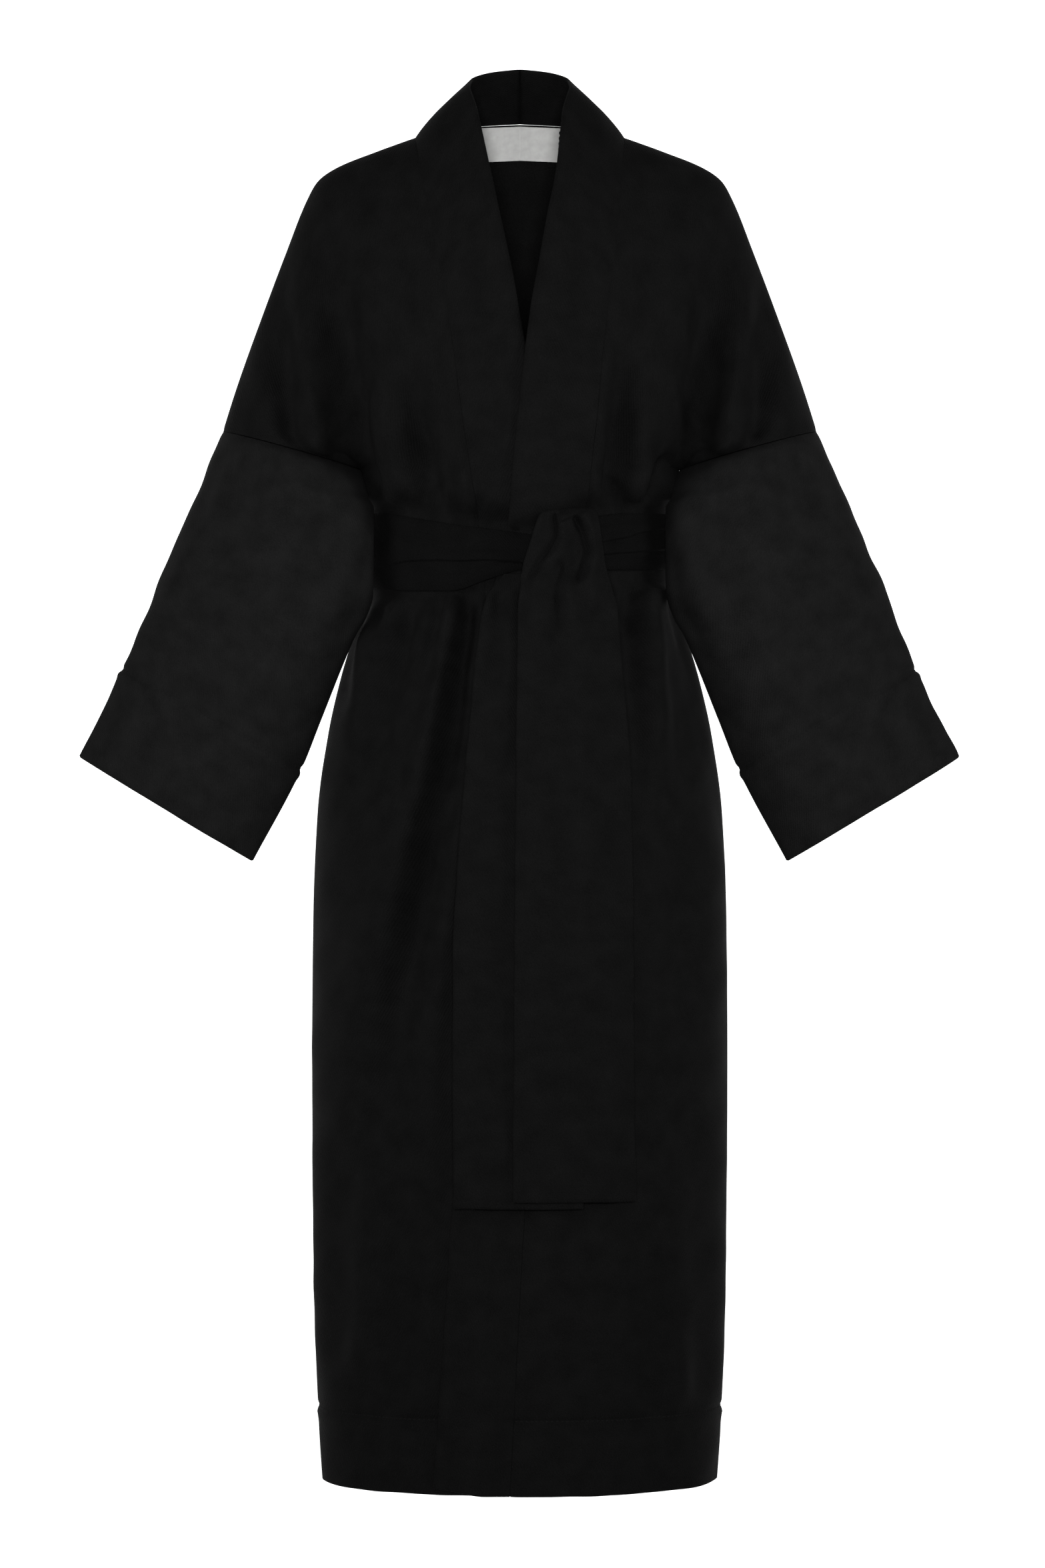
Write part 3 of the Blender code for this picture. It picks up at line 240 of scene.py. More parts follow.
# Smaller creases, drawn like the largest folds
FRONT_CREASES = (
    Fold(-0.046, -0.345, -0.066, -0.190, 0.0045, 0.0065),    # ridge beside the right band seam
    Fold(0.068, -0.342, 0.087, -0.170, 0.0045, 0.0065),      # ridge beside the left band seam
    Fold(-0.080, -0.345, -0.104, -0.205, -0.0075, 0.0095),   # hollows of the chest
    Fold(0.086, -0.342, 0.100, -0.185, -0.0075, 0.0090),
    Fold(-0.112, -0.345, -0.126, -0.235, 0.0060, 0.0105),
    Fold(0.104, -0.342, 0.112, -0.240, 0.0055, 0.0095),
    Fold(0.106, -0.341, 0.079, -0.328, -0.0035, 0.0045),     # tuck above the sash
    Fold(0.140, -0.300, 0.110, -0.340, -0.0045, 0.0065),
    Fold(-0.150, -0.272, -0.112, -0.150, -0.0045, 0.0095),
    Fold(0.160, -0.268, 0.124, -0.140, -0.0045, 0.0095),
    Fold(-0.128, -0.338, -0.150, -0.262, -0.0045, 0.0065),
    Fold(-0.186, -0.330, -0.207, -0.060, 0.0050, 0.0120),    # ridges and hollows of the upper arms
    Fold(-0.208, -0.325, -0.219, -0.080, -0.0090, 0.0115),
    Fold(-0.160, -0.330, -0.180, -0.070, -0.0070, 0.0125),
    Fold(0.192, -0.330, 0.204, -0.060, 0.0050, 0.0120),
    Fold(0.214, -0.325, 0.226, -0.080, -0.0090, 0.0115),
    Fold(0.167, -0.330, 0.186, -0.070, -0.0070, 0.0125),
    Fold(-0.056, -0.428, -0.140, -0.860, 0.0075, 0.0085),    # ridge beside the main skirt fold
    Fold(-0.030, -0.428, -0.070, -0.700, -0.0060, 0.0070),
    Fold(-0.100, -0.432, -0.150, -0.640, -0.0070, 0.0095),
    Fold(-0.124, -0.432, -0.160, -0.520, 0.0050, 0.0085),
    Fold(0.098, -0.418, 0.112, -0.700, -0.0060, 0.0080),
    Fold(0.118, -0.418, 0.140, -0.640, 0.0060, 0.0090),
    Fold(-0.150, -0.447, -0.172, -0.570, -0.0034, 0.0075),
    Fold(0.148, -0.447, 0.174, -0.560, -0.0034, 0.0075),
    Fold(-0.106, -1.120, -0.112, -0.820, -0.0050, 0.0170),
    Fold(-0.090, -0.640, -0.142, -1.020, -0.0075, 0.0150),
    Fold(-0.166, -1.120, -0.160, -0.780, -0.0045, 0.0150),
    Fold(0.116, -1.180, 0.128, -0.930, -0.0045, 0.0160),
    Fold(0.168, -1.150, 0.164, -0.840, -0.0045, 0.0150),
)
BACK_CREASES = (
    Fold(-0.060, -0.336, -0.075, -0.230, -0.0032, 0.0070),
    Fold(0.010, -0.336, 0.004, -0.246, -0.0030, 0.0070),
    Fold(0.066, -0.336, 0.082, -0.238, 0.0032, 0.0080),
    Fold(-0.140, -0.262, -0.098, -0.150, -0.0034, 0.0090),
    Fold(0.142, -0.258, 0.096, -0.136, -0.0038, 0.0090),
    Fold(-0.060, -0.434, -0.084, -0.640, -0.0042, 0.0095),
    Fold(0.010, -0.434, 0.018, -0.660, -0.0045, 0.0100),
    Fold(0.080, -0.434, 0.106, -0.590, -0.0040, 0.0090),
    Fold(-0.140, -0.447, -0.168, -0.600, -0.0034, 0.0085),
    Fold(0.142, -0.447, 0.168, -0.585, -0.0034, 0.0085),
    Fold(-0.074, -1.170, -0.070, -0.930, -0.0032, 0.0165),
    Fold(0.040, -1.185, 0.052, -0.970, -0.0030, 0.0160),
    Fold(0.132, -1.165, 0.128, -0.950, -0.0034, 0.0165),
)
# Gathers that the sash presses in: place at its edge, lean over their length, depth and width
Gather = namedtuple("Gather", "x lean length depth width")
GATHER_TOP_Z = -0.338
GATHER_BOTTOM_Z = -0.432
SASH_RISE_LEFT = 0.016      # how much higher the sash's bottom edge lies on the left, and at the back
SASH_RISE_BACK = 0.009
SASH_RISE_START = (0.0, 0.050)
# How much lower the sash's top edge lies at places across the front
SashDrop = namedtuple("SashDrop", "x drop")
SASH_DROPS = (
    SashDrop(-0.125, 0.000),
    SashDrop(-0.090, 0.005),
    SashDrop(-0.053, 0.012),
    SashDrop(-0.022, 0.017),
    SashDrop(0.010, 0.022),
    SashDrop(0.030, 0.018),
    SashDrop(0.053, 0.007),
    SashDrop(0.085, 0.000),
)
DROP_START = (0.296, 0.326) # depths below the shoulder line over which that sets in
FLARE_OUT = 0.0075          # how far the skirt stands out below the sash, at what height and what width
FLARE_Z = -0.4255
FLARE_WIDTH = 0.012
FINE_CALM_START = 0.93      # share of the panel from which folds fade towards the sleeve
SLEEVE_INNER_CALM = 0.25    # share of the sleeve's width, from its inner edge, over which ripples set in
SLEEVE_TOP_CALM = 0.1       # the same down from the armhole
FRONT_GATHERS_ABOVE = (
    Gather(-0.118, -0.012, 0.046, -0.0032, 0.0048),
    Gather(-0.088, -0.010, 0.072, -0.0034, 0.0058),
    Gather(-0.061, -0.006, 0.055, -0.0026, 0.0050),
    Gather(0.066, 0.006, 0.058, -0.0026, 0.0050),
    Gather(0.094, 0.010, 0.078, -0.0036, 0.0058),
    Gather(0.123, 0.019, 0.050, -0.0036, 0.0054),
)
FRONT_GATHERS_BELOW = (
    Gather(-0.124, -0.011, 0.052, -0.0032, 0.0050),
    Gather(-0.102, -0.013, 0.088, -0.0036, 0.0058),
    Gather(-0.072, -0.017, 0.120, -0.0042, 0.0062),
    Gather(-0.057, -0.013, 0.062, 0.0030, 0.0052),
    Gather(0.078, 0.004, 0.066, -0.0030, 0.0052),
    Gather(0.099, 0.009, 0.104, -0.0034, 0.0060),
    Gather(0.113, 0.017, 0.064, -0.0036, 0.0054),
    Gather(0.125, 0.023, 0.050, 0.0032, 0.0050),
)
BACK_GATHERS_ABOVE = (
    Gather(-0.112, -0.014, 0.052, -0.0034, 0.0052),
    Gather(-0.066, -0.008, 0.084, -0.0032, 0.0058),
    Gather(-0.014, -0.003, 0.058, -0.0030, 0.0054),
    Gather(0.018, 0.004, 0.092, -0.0036, 0.0060),
    Gather(0.074, 0.009, 0.062, -0.0030, 0.0054),
    Gather(0.114, 0.015, 0.048, -0.0034, 0.0052),
)
BACK_GATHERS_BELOW = (
    Gather(-0.118, -0.016, 0.070, -0.0036, 0.0054),
    Gather(-0.078, -0.012, 0.105, -0.0036, 0.0060),
    Gather(-0.046, -0.006, 0.060, 0.0030, 0.0054),
    Gather(-0.006, -0.001, 0.088, -0.0034, 0.0058),
    Gather(0.028, 0.005, 0.064, -0.0032, 0.0054),
    Gather(0.068, 0.010, 0.112, -0.0038, 0.0060),
    Gather(0.094, 0.014, 0.058, 0.0030, 0.0052),
    Gather(0.120, 0.019, 0.066, -0.0034, 0.0054),
)
SLEEVE_CREASES = (
    SleeveFold(34.0, 0.02, 0.40, -0.0016, 9.0),
    SleeveFold(74.0, 0.00, 0.34, -0.0016, 9.0),
    SleeveFold(98.0, 0.10, 0.64, -0.0016, 9.0),
    SleeveFold(136.0, 0.00, 0.32, -0.0016, 9.0),
    SleeveFold(152.0, 0.16, 0.56, -0.0012, 8.0),
    SleeveFold(66.0, 0.52, 0.98, -0.0018, 11.0),
    SleeveFold(112.0, 0.58, 0.98, -0.0016, 11.0),
    SleeveFold(212.0, 0.02, 0.40, -0.0016, 9.0),
    SleeveFold(240.0, 0.10, 0.62, -0.0018, 10.0),
    SleeveFold(292.0, 0.00, 0.44, -0.0018, 10.0),
    SleeveFold(318.0, 0.14, 0.58, -0.0016, 9.0),
    SleeveFold(280.0, 0.56, 0.98, -0.0018, 11.0),
)
# Slow unevenness of all the cloth: waves for each metre across and up, height and phase
Ripple = namedtuple("Ripple", "across up height phase")
RIPPLES = (
    Ripple(9.0, 5.0, 0.0006, 0.3),
    Ripple(-14.0, 8.0, 0.0005, 1.7),
    Ripple(21.0, 11.0, 0.0004, 4.1),
    Ripple(-31.0, 17.0, 0.0003, 2.6),
    Ripple(6.0, 23.0, 0.0003, 5.2),
)

# Sash round the waist from the knot over the wearer's left, the back and the right to the knot: its
# two edges, and two lines (as shares of its width) where a layer ends over the next, with their strength
SashPlace = namedtuple("SashPlace", "angle top bottom first first_edge second second_edge")
SASH = (
    SashPlace(9.6, -0.3600, -0.4030, 0.50, 1.00, 0.72, 1.00),
    SashPlace(24.0, -0.3560, -0.4040, 0.50, 1.00, 0.72, 1.00),
    SashPlace(40.0, -0.3515, -0.4035, 0.44, 1.00, 0.70, 1.00),
    SashPlace(51.0, -0.3510, -0.4030, 0.33, 1.00, 0.67, 1.00),
    SashPlace(72.0, -0.3500, -0.4015, 0.27, 1.00, 0.64, 1.00),
    SashPlace(90.0, -0.3495, -0.4000, 0.27, 1.00, 0.63, 1.00),
    SashPlace(150.0, -0.3480, -0.4080, 0.36, 0.90, 0.74, 0.80),
    SashPlace(180.0, -0.3480, -0.4110, 0.44, 0.90, 0.80, 0.50),
    SashPlace(210.0, -0.3480, -0.4140, 0.52, 0.80, 0.84, 0.20),
    SashPlace(270.0, -0.3490, -0.4170, 0.68, 0.15, 0.86, 0.00),
    SashPlace(290.0, -0.3497, -0.4190, 0.72, 0.00, 0.86, 0.00),
    SashPlace(298.0, -0.3500, -0.4195, 0.71, 0.35, 0.86, 0.00),
    SashPlace(316.0, -0.3550, -0.4225, 0.60, 1.00, 0.86, 0.00),
    SashPlace(336.0, -0.3620, -0.4230, 0.55, 1.00, 0.86, 0.00),
    SashPlace(350.0, -0.3665, -0.4130, 0.62, 1.00, 0.90, 0.00),
    SashPlace(361.0, -0.3710, -0.4040, 0.82, 1.00, 0.95, 0.00),
    SashPlace(369.6, -0.3740, -0.4010, 0.97, 1.00, 1.00, 0.00),
)
BELT_PLEAT = 0.0040     # how far the middle of the sash stands out
SASH_FULLNESS = 0.6     # 1 is a half wave across the sash, less is fuller
STEP_HEIGHT = 0.0017    # half the drop at a layer's edge, how sharp it is and how far it eases out
STEP_EDGE = 0.0006
STEP_REACH = 0.0090
SASH_CREASE_RISE = (0.0, 0.2)   # shares of a crease over which it sets in and fades out
SASH_CREASE_FALL = (0.7, 1.0)
SashCrease = namedtuple("SashCrease", "start end share_start share_end depth width")
SASH_CREASES = (
    SashCrease(296.0, 369.0, 0.22, 0.46, -0.0006, 0.060),
    SashCrease(318.0, 367.0, 0.82, 0.74, -0.0006, 0.060),
    SashCrease(266.0, 330.0, 0.12, 0.20, -0.0004, 0.060),
    SashCrease(11.0, 62.0, 0.16, 0.11, -0.0006, 0.060),
    SashCrease(11.0, 47.0, 0.50, 0.47, -0.0006, 0.050),
    SashCrease(11.0, 82.0, 0.84, 0.80, -0.0006, 0.060),
    SashCrease(100.0, 200.0, 0.20, 0.28, -0.0011, 0.060),
    SashCrease(130.0, 240.0, 0.72, 0.74, -0.0013, 0.060),
    SashCrease(220.0, 300.0, 0.34, 0.30, -0.0010, 0.050),
)

# Sash tails in the front view; out is how far the face stands in front of the smooth front
TailRow = namedtuple("TailRow", "z left right out")
TAIL_OVER = (
    TailRow(-0.3495, 0.0245, 0.0610, 0.0003),
    TailRow(-0.3475, 0.0230, 0.0618, 0.0095),
    TailRow(-0.3490, 0.0210, 0.0626, 0.0155),
    TailRow(-0.3570, 0.0165, 0.0640, 0.0220),
    TailRow(-0.3800, 0.0095, 0.0660, 0.0260),
    TailRow(-0.4020, 0.0030, 0.0680, 0.0290),
    TailRow(-0.4255, 0.0004, 0.0735, 0.0305),
    TailRow(-0.4383, -0.0010, 0.0770, 0.0282),
    TailRow(-0.4520, -0.0012, 0.0795, 0.0235),
    TailRow(-0.4930, -0.0015, 0.0845, 0.0200),
    TailRow(-0.6194, -0.0030, 0.0940, 0.0185),
    TailRow(-0.9740, -0.0053, 0.0965, 0.0180),
)
TAIL_UNDER = (
    TailRow(-0.4085, -0.0130, 0.0450, 0.0140),
    TailRow(-0.4255, -0.0250, 0.0476, 0.0150),
    TailRow(-0.4383, -0.0295, 0.0488, 0.0140),
    TailRow(-0.4520, -0.0325, 0.0500, 0.0130),
    TailRow(-0.4930, -0.0374, 0.0520, 0.0125),
    TailRow(-0.6787, -0.0530, 0.0540, 0.0120),
    TailRow(-0.7630, -0.0565, 0.0540, 0.0120),
    TailRow(-0.9800, -0.0555, 0.0535, 0.0144),
)
KNOT_PLEATS = 3         # pleats of the sash where it falls over the knot
KNOT_PLEAT_DEPTH = 0.0045
KNOT_PLEAT_FULL = -0.430        # heights between which they fade out, and the share where they set in
KNOT_PLEAT_END = -0.520
KNOT_PLEAT_RISE = 0.25
KNOT_PLEAT_SHARE = 0.3          # share of those pleats left beside the drawn folds
KNOT_FOLD_START = (0.08, 0.20)  # share of the tail's table over which its folds set in
# Bent folds of the knot, from the top down: their line in the front view, with crease, ridge and hollow
KnotFold = namedtuple("KnotFold", "line depth width ridge hollow rise fall")
KNOT_FOLDS = (
    KnotFold(((0.0288, -0.3520), (0.0300, -0.3740), (0.0225, -0.3885),
              (0.0105, -0.4070), (0.0030, -0.4200)),
             0.0050, 0.0030, 0.70, 0.25, 0.05, 0.75),
    KnotFold(((0.0442, -0.3540), (0.0520, -0.3700), (0.0545, -0.3880),
              (0.0500, -0.4060), (0.0420, -0.4200)),
             0.0058, 0.0030, 0.70, 0.90, 0.06, 0.85),
    KnotFold(((0.0345, -0.3933), (0.0305, -0.4147), (0.0304, -0.4410), (0.0299, -0.4927)),
             0.0042, 0.0036, 0.30, 0.30, 0.10, 0.35),
)
RIDGE_PLACE = 2.4       # places and widths of the ridge and the hollow, in widths of the crease
RIDGE_WIDTH = 1.9
HOLLOW_PLACE = 2.6
HOLLOW_WIDTH = 2.6
KNOT_CREASES = (
    Fold(0.0145, -0.3930, 0.0150, -0.5200, 0.0026, 0.0090),
    Fold(0.0390, -0.4250, 0.0570, -0.5000, 0.0024, 0.0062),
    Fold(0.0630, -0.4020, 0.0700, -0.4900, -0.0020, 0.0046),
    Fold(0.0085, -0.6000, 0.0080, -0.9000, -0.0008, 0.0042),
    Fold(0.0300, -0.4800, 0.0360, -0.7600, -0.0016, 0.0100),
    Fold(0.0700, -0.5200, 0.0780, -0.8000, -0.0014, 0.0110),
    Fold(0.0560, -0.9300, 0.0500, -0.7800, -0.0012, 0.0120),
)
UNDER_TAIL_CREASES = (
    Fold(-0.016, -0.418, -0.030, -0.560, -0.0024, 0.0060),
    Fold(-0.006, -0.418, -0.012, -0.640, 0.0018, 0.0070),
    Fold(-0.040, -0.940, -0.036, -0.780, -0.0012, 0.0100),
)

# Sewing
SEAM_DIP = 0.0005       # how far the cloth sinks beside a seam, and over what width
SEAM_DIP_WIDTH = 0.0036
BAND_DIP = 0.0013       # the same at the band's seam, its share high up and where it deepens
BAND_DIP_HIGH_SHARE = 0.12
BAND_DIP_FADE = (0.12, 0.24)
CENTRE_GROOVE = 0.0024  # groove of the centre back seam inside the band, and its width
CENTRE_GROOVE_WIDTH = 0.0012
LINE_RIDGE = 0.0010     # soft ridge past a stitched line, how far past it and over what width
LINE_RIDGE_PLACE = 0.0060
LINE_RIDGE_WIDTH = 0.0040
SOFT_STEPS = np.linspace(-0.022, 0.022, 9)   # heights over which the tails' base is evened out
LINE_DIP = 0.0015       # how far a stitched line sinks, and over what width
LINE_DIP_WIDTH = 0.0030
LIP = 0.35              # how far a soft edge rounds out, as a share of its thickness
HEM_TURN = 0.001        # half the height over which the cloth goes from single to double at the hem line
CUFF_TURN = 0.002       # the same at the cuff line, as a share of the sleeve
STITCH_THICK = 0.0006
STITCH_WIDE = 0.0010
STITCH_PLACES = np.array((-0.5, -0.2, 0.2, 0.5))   # the four rings of a stitch, in stitch lengths
STITCH_SWELL = (0.35, 1.0, 1.0, 0.35)              # how thick it is at each of them
STITCH_CORNERS = ((-0.5, 0.0), (0.0, 1.0), (0.5, 0.0), (0.0, -1.0))
STITCH_SINK = 0.6       # how deep its thin ends lie, in thicknesses

# Grid steps
ROW_STEP = 0.0062
YOKE_ROWS = 62
FRONT_COLUMNS = 84
BAND_COLUMNS = 18
BACK_NECK_COLUMNS = 30    # from the centre back to the neck point
BACK_ARM_COLUMNS = 58     # from the neck point to the armhole
SLEEVE_AROUND = 120
SLEEVE_STEPS = 86
SASH_COLUMNS = 320
SASH_ROWS = 116
TAIL_ROWS = 300
TAIL_COLUMNS = 92
TAIL_CROWDING = 0.65      # how much closer the rows lie at the knot
TAIL_SAMPLES = 600
NEAR_SEAM = np.array((0.004, 0.010, 0.018))             # extra columns beside a seam
NEAR_LINE = np.array((0.0012, 0.0025, 0.0042, 0.0060))  # extra rows beside a stitched line
NEAR_HEM = np.array((0.0, 0.0015, 0.0035))              # rows at the hem itself
LINE_CLEARANCE = 0.001    # even rows this near to a stitched line are left out, on the body
CUFF_CLEARANCE = 0.002    # and on the sleeves, as a share of their length
JOIN_DISTANCE = 1e-6      # points nearer than this are joined
FLAT_DISTANCE = 1e-7      # faces narrower than this are dropped
NECK_SMOOTHING = 12       # passes that ease the turn of the neck seam's normals
SLEEVE_LENGTH = 0.345     # from the armhole to the cuff edge
SASH_END_GAP = 0.3        # degrees left open between the sash's two ends under the knot

# Flat sizes that the cloth was cut to, with hems and seams: width, length and area
Cut = namedtuple("Cut", "width length area")
CUT_TAIL_OVER = Cut(0.115, 0.68, 0.07)
CUT_TAIL_UNDER = Cut(0.115, 0.58, 0.06)

# Finishes
# Painted light and shade: lighter and darker copies of the one wool stand in for how the light falls on
# sleeves and sash
SASH_PAINTED_SHADE = 0.58         # shares of the wool's colour: painted shade darkens the sash and painted light lightens the sleeves
SLEEVE_PAINTED_LIGHT = 1.85
NO_PAINTED_LIGHT = 1.0
THREAD_DARK = (0.0016, 0.0016, 0.0016)
THREAD_LIGHT = (0.0042, 0.0042, 0.0042)
WEAVE = "weave"           # name of the cloth lengths kept on every shell
WOOL_DARKEST = 0.45       # shares of the wool's middle colour
WOOL_LIGHTEST = 1.7
WOOL_ROUGHNESS = (0.74, 0.94)
WOOL_GLOSS = 0.03
SHEEN_ROUGHNESS = 0.42
SHEEN_TINT = (0.9, 0.9, 0.9, 1.0)
NAP_DETAIL = 4.0
NAP_SHARE = 0.55          # how much of the colour's change is nap, and how much mottle
NAP_STRENGTH = 0.8
MOTTLE_PER_METRE = 45.0
MOTTLE_DETAIL = 3.0
MOTTLE_SHARE = 0.45
TWILL_ANGLE = math.radians(28.0)
TWILL_WANDER = 1.2        # how far the ribs stray, and how finely
TWILL_DETAIL = 2.0
TWILL_DETAIL_SCALE = 1.6
TWILL_STRENGTH = 0.7
WAVE_PITCH = 2.0 * math.pi / 20.0   # pitch of the wave texture at scale 1
THREAD_PER_METRE = 2400.0
THREAD_DETAIL = 2.0
THREAD_DEPTH = 0.0002
THREAD_STRENGTH = 0.6
THREAD_ROUGHNESS = 0.8
THREAD_GLOSS = 0.05
SATIN_PITCH = 0.0007
SATIN_WANDER = 0.4
SATIN_CLOUDS_PER_METRE = 160.0
SATIN_DETAIL = 3.0
SATIN_DARKEST = 0.86      # share of the label's colour
SATIN_DEPTH = 0.00015
SATIN_STRENGTH = 0.5
SATIN_ROUGHNESS = 0.38
SATIN_SHEEN = 0.15
COLOUR_LOW = 0.3          # where a blend of two colours begins and ends in the noise
COLOUR_HIGH = 0.7
SHARP_ANGLE = math.radians(70.0)

# Studio
Lamp = namedtuple("Lamp", "name x y z wide high aim_z")
LAMPS = (
    Lamp("left_lamp", -2.3, -1.2, 0.0, 0.8, 1.6, -0.45),
    Lamp("right_lamp", 2.3, -1.2, 0.0, 0.8, 1.6, -0.45),
    Lamp("front_lamp", 0.0, -4.4, -0.40, 0.8, 0.3, -0.30),
)
LAMP_SPREAD = math.radians(54.0)   # how far the lamps' light opens out
FLOOR_FRONT = 9.0
FLOOR_BACK = 6.5
FLOOR_BEND = 1.0
FLOOR_HALF_WIDTH = 9.0
BEND_STEPS = 25
WALL_HEIGHT = 8.0
PAPER_GLOW = 1.00       # of the paper behind the robe only
GLOW_START = 0.6
PAPER_GRAIN_PER_METRE = 40.0
PAPER_DETAIL = 3.0
PAPER_DARKEST = 0.99    # share of the paper's colour
PAPER_ROUGHNESS = 0.9
PAPER_GLOSS = 0.1
WHITE = (1.0, 1.0, 1.0, 1.0)
SENSOR_HEIGHT = 24.0
SIGHT = 50.0            # how far the camera sees
CAMERA_X = 0.0025
CAMERA_Z = -0.5988

# Label inside the back neck
LABEL_HALF_WIDTH = 0.040
LABEL_HEIGHT = 0.034
LABEL_LAY = 0.0014
LABEL_FALL = (0.010, 0.150)     # share of the upper back that the label is measured out on
LABEL_COLUMNS = 61
LABEL_ROWS = 25
NECK_SAMPLES = 60               # places along the neckline at which the label's columns are sought


def smoothstep(value, start, end):
    """Ease from 0 at the start to 1 at the end."""
    share = np.clip((np.asarray(value) - start) / (end - start), 0.0, 1.0)
    return share * share * (3.0 - 2.0 * share)


def blend(first, second, share):
    """Straight mix of two values."""
    return first + (second - first) * share


def through(knots, values, at):
    """Smooth curve through values at rising knots that never swings past its own values."""
    knots = np.asarray(knots, float)
    values = np.asarray(values, float)
    steps = np.diff(values) / np.diff(knots)
    slopes = np.concatenate((steps[:1], np.zeros(len(steps) - 1), steps[-1:]))
    same_way = steps[:-1] * steps[1:] > 0
    total = np.where(same_way, steps[:-1] + steps[1:], 1.0)
    slopes[1:-1] = np.where(same_way, 2.0 * steps[:-1] * steps[1:] / total, 0.0)
    cell = np.clip(np.searchsorted(knots, at, side="right") - 1, 0, len(knots) - 2)
    span = knots[cell + 1] - knots[cell]
    t = np.clip((at - knots[cell]) / span, 0.0, 1.0)
    ease = t * t * (3.0 - 2.0 * t)
    start_pull = t * (1.0 - t) ** 2 * span * slopes[cell]
    end_pull = t * t * (t - 1.0) * span * slopes[cell + 1]
    return blend(values[cell], values[cell + 1], ease) + start_pull + end_pull


def read(rows, column, at, key="z"):
    """Smooth value of one column of a table at the given place of its key column."""
    ordered = sorted(rows, key=lambda row: getattr(row, key))
    knots = [getattr(row, key) for row in ordered]
    values = [getattr(row, column) for row in ordered]
    return through(knots, values, np.asarray(at, float))


def unit(vectors):
    """Vectors of length one."""
    return vectors / np.maximum(np.linalg.norm(vectors, axis=-1, keepdims=True), 1e-12)


def power(values, exponent):
    """Power that keeps the sign."""
    return np.sign(values) * np.abs(values) ** exponent


def stack(x, y, z):
    """Points from three arrays."""
    return np.stack(np.broadcast_arrays(x, y, z), axis=-1)


def path_lengths(points):
    """Distance along a line of points from its first one."""
    return np.concatenate(([0.0], np.cumsum(np.linalg.norm(np.diff(points, axis=0), axis=1))))


def fold_profile(across):
    """Section of a fold, by the distance from its line in widths, with a low swell on either side."""
    return (1.0 - across ** 2) * np.exp(-0.5 * across ** 2)


def fold_strength(along, rise, fall):
    """Strength along a fold that sets in, holds and fades out."""
    return smoothstep(along, *rise) * (1.0 - smoothstep(along, *fall))


def oval(z, angle):
    """Body surface at a height and an angle from the centre front towards +X, in radians."""
    half_width = read(SECTIONS, "half_width", z)
    depth = np.where(np.cos(angle) >= 0, read(SECTIONS, "front", z), read(SECTIONS, "back", z))
    x = half_width * power(np.sin(angle), 2.0 / ROUNDNESS)
    y = -depth * power(np.cos(angle), 2.0 / ROUNDNESS)
    return stack(x, y, z)


def angle_at(x, z):
    """Angle whose point on the body's front lies at x."""
    share = np.clip(x / read(SECTIONS, "half_width", z), -1.0, 1.0)
    return np.arcsin(power(share, ROUNDNESS / 2.0))


def band_side(side):
    """Table column of a front: the wearer's left laps over the right."""
    return "over" if side > 0 else "under"


def lap(x, z):
    """Extra stand-off of the over front where the under front lies below it."""
    under_edge = -read(BAND_FREE, "under", np.clip(z, HEM_Z, BAND_FREE[0].z))
    covered = 1.0 - smoothstep(x, under_edge + LAP_FADE[0], under_edge + LAP_FADE[1])
    return LAP_LIFT * covered * smoothstep(-z, *LAP_START)


def sash_lap(x, z):
    """Stand-off of the sash over the lapped fronts, eased down past the over front's free edge."""
    over_edge = read(BAND_FREE, "over", z)
    return lap(x, z) * smoothstep(x, over_edge - SASH_STEP, over_edge)


def belt_calm(z):
    """0 where the sash presses the cloth smooth, 1 away from it."""
    return 1.0 - smoothstep(z, *SASH_PRESS_LOW) * smoothstep(-z, *SASH_PRESS_HIGH)


def line_relief(points, folds):
    """How far the folds move a surface out (or in) at each point, read in the front view."""
    x = points[..., 0]
    z = points[..., 2]
    relief = np.zeros(x.shape)
    for fold in folds:
        run_x = fold.tip_x - fold.root_x
        run_z = fold.tip_z - fold.root_z
        length = math.hypot(run_x, run_z)
        along = ((x - fold.root_x) * run_x + (z - fold.root_z) * run_z) / length ** 2
        across = ((x - fold.root_x) * run_z - (z - fold.root_z) * run_x) / length
        spread = fold.width * (1.0 + FOLD_SPREAD * np.clip(along, 0.0, 1.0))
        strength = fold_strength(along, FOLD_RISE, FOLD_FALL)
        relief += fold.depth * fold_profile(across / spread) * strength
    return relief


def fold_relief(points, folds):
    """Relief of the folds, faded under the sash and towards the side seams."""
    edge = points[..., 2] - sash_rise(points) + sash_drop(points)
    calm = belt_calm(edge) * smoothstep(np.abs(points[..., 1]), *FOLD_SIDE_FADE)
    return line_relief(points, folds) * calm


def top_edge_drop(x):
    """How much lower the sash's top edge lies at a place across the robe than at the sides."""
    return np.interp(x, [row.x for row in SASH_DROPS], [row.drop for row in SASH_DROPS])


def sash_drop(points):
    """How much lower the sash's top edge lies on the front here, for points above the sash."""
    drop = top_edge_drop(points[..., 0]) * smoothstep(-points[..., 2], *DROP_START)
    return np.where((points[..., 1] < 0) & (points[..., 2] > WAIST_Z), drop, 0.0)


def sash_rise(points):
    """How much higher the sash's bottom edge lies here than on the front's right, for points below it."""
    left = SASH_RISE_LEFT * smoothstep(points[..., 0], *SASH_RISE_START)
    rise = np.where(points[..., 1] < 0, left, SASH_RISE_BACK)
    return rise * smoothstep(-points[..., 2], -WAIST_Z, -WAIST_Z + SASH_RISE_LEFT)


def lap_calm(x, z):
    """0 where both fronts lie on each other, so that they nest, 1 away from there."""
    low = np.clip(z, HEM_Z, BAND_FREE[0].z)
    over_edge = read(BAND_FREE, "over", low)
    under_edge = -read(BAND_FREE, "under", low)
    left_of_lap = smoothstep(x, over_edge - LAP_NEST[1], over_edge - LAP_NEST[0])
    right_of_lap = 1.0 - smoothstep(x, under_edge + LAP_NEST[0], under_edge + LAP_NEST[1])
    return 1.0 - left_of_lap * right_of_lap


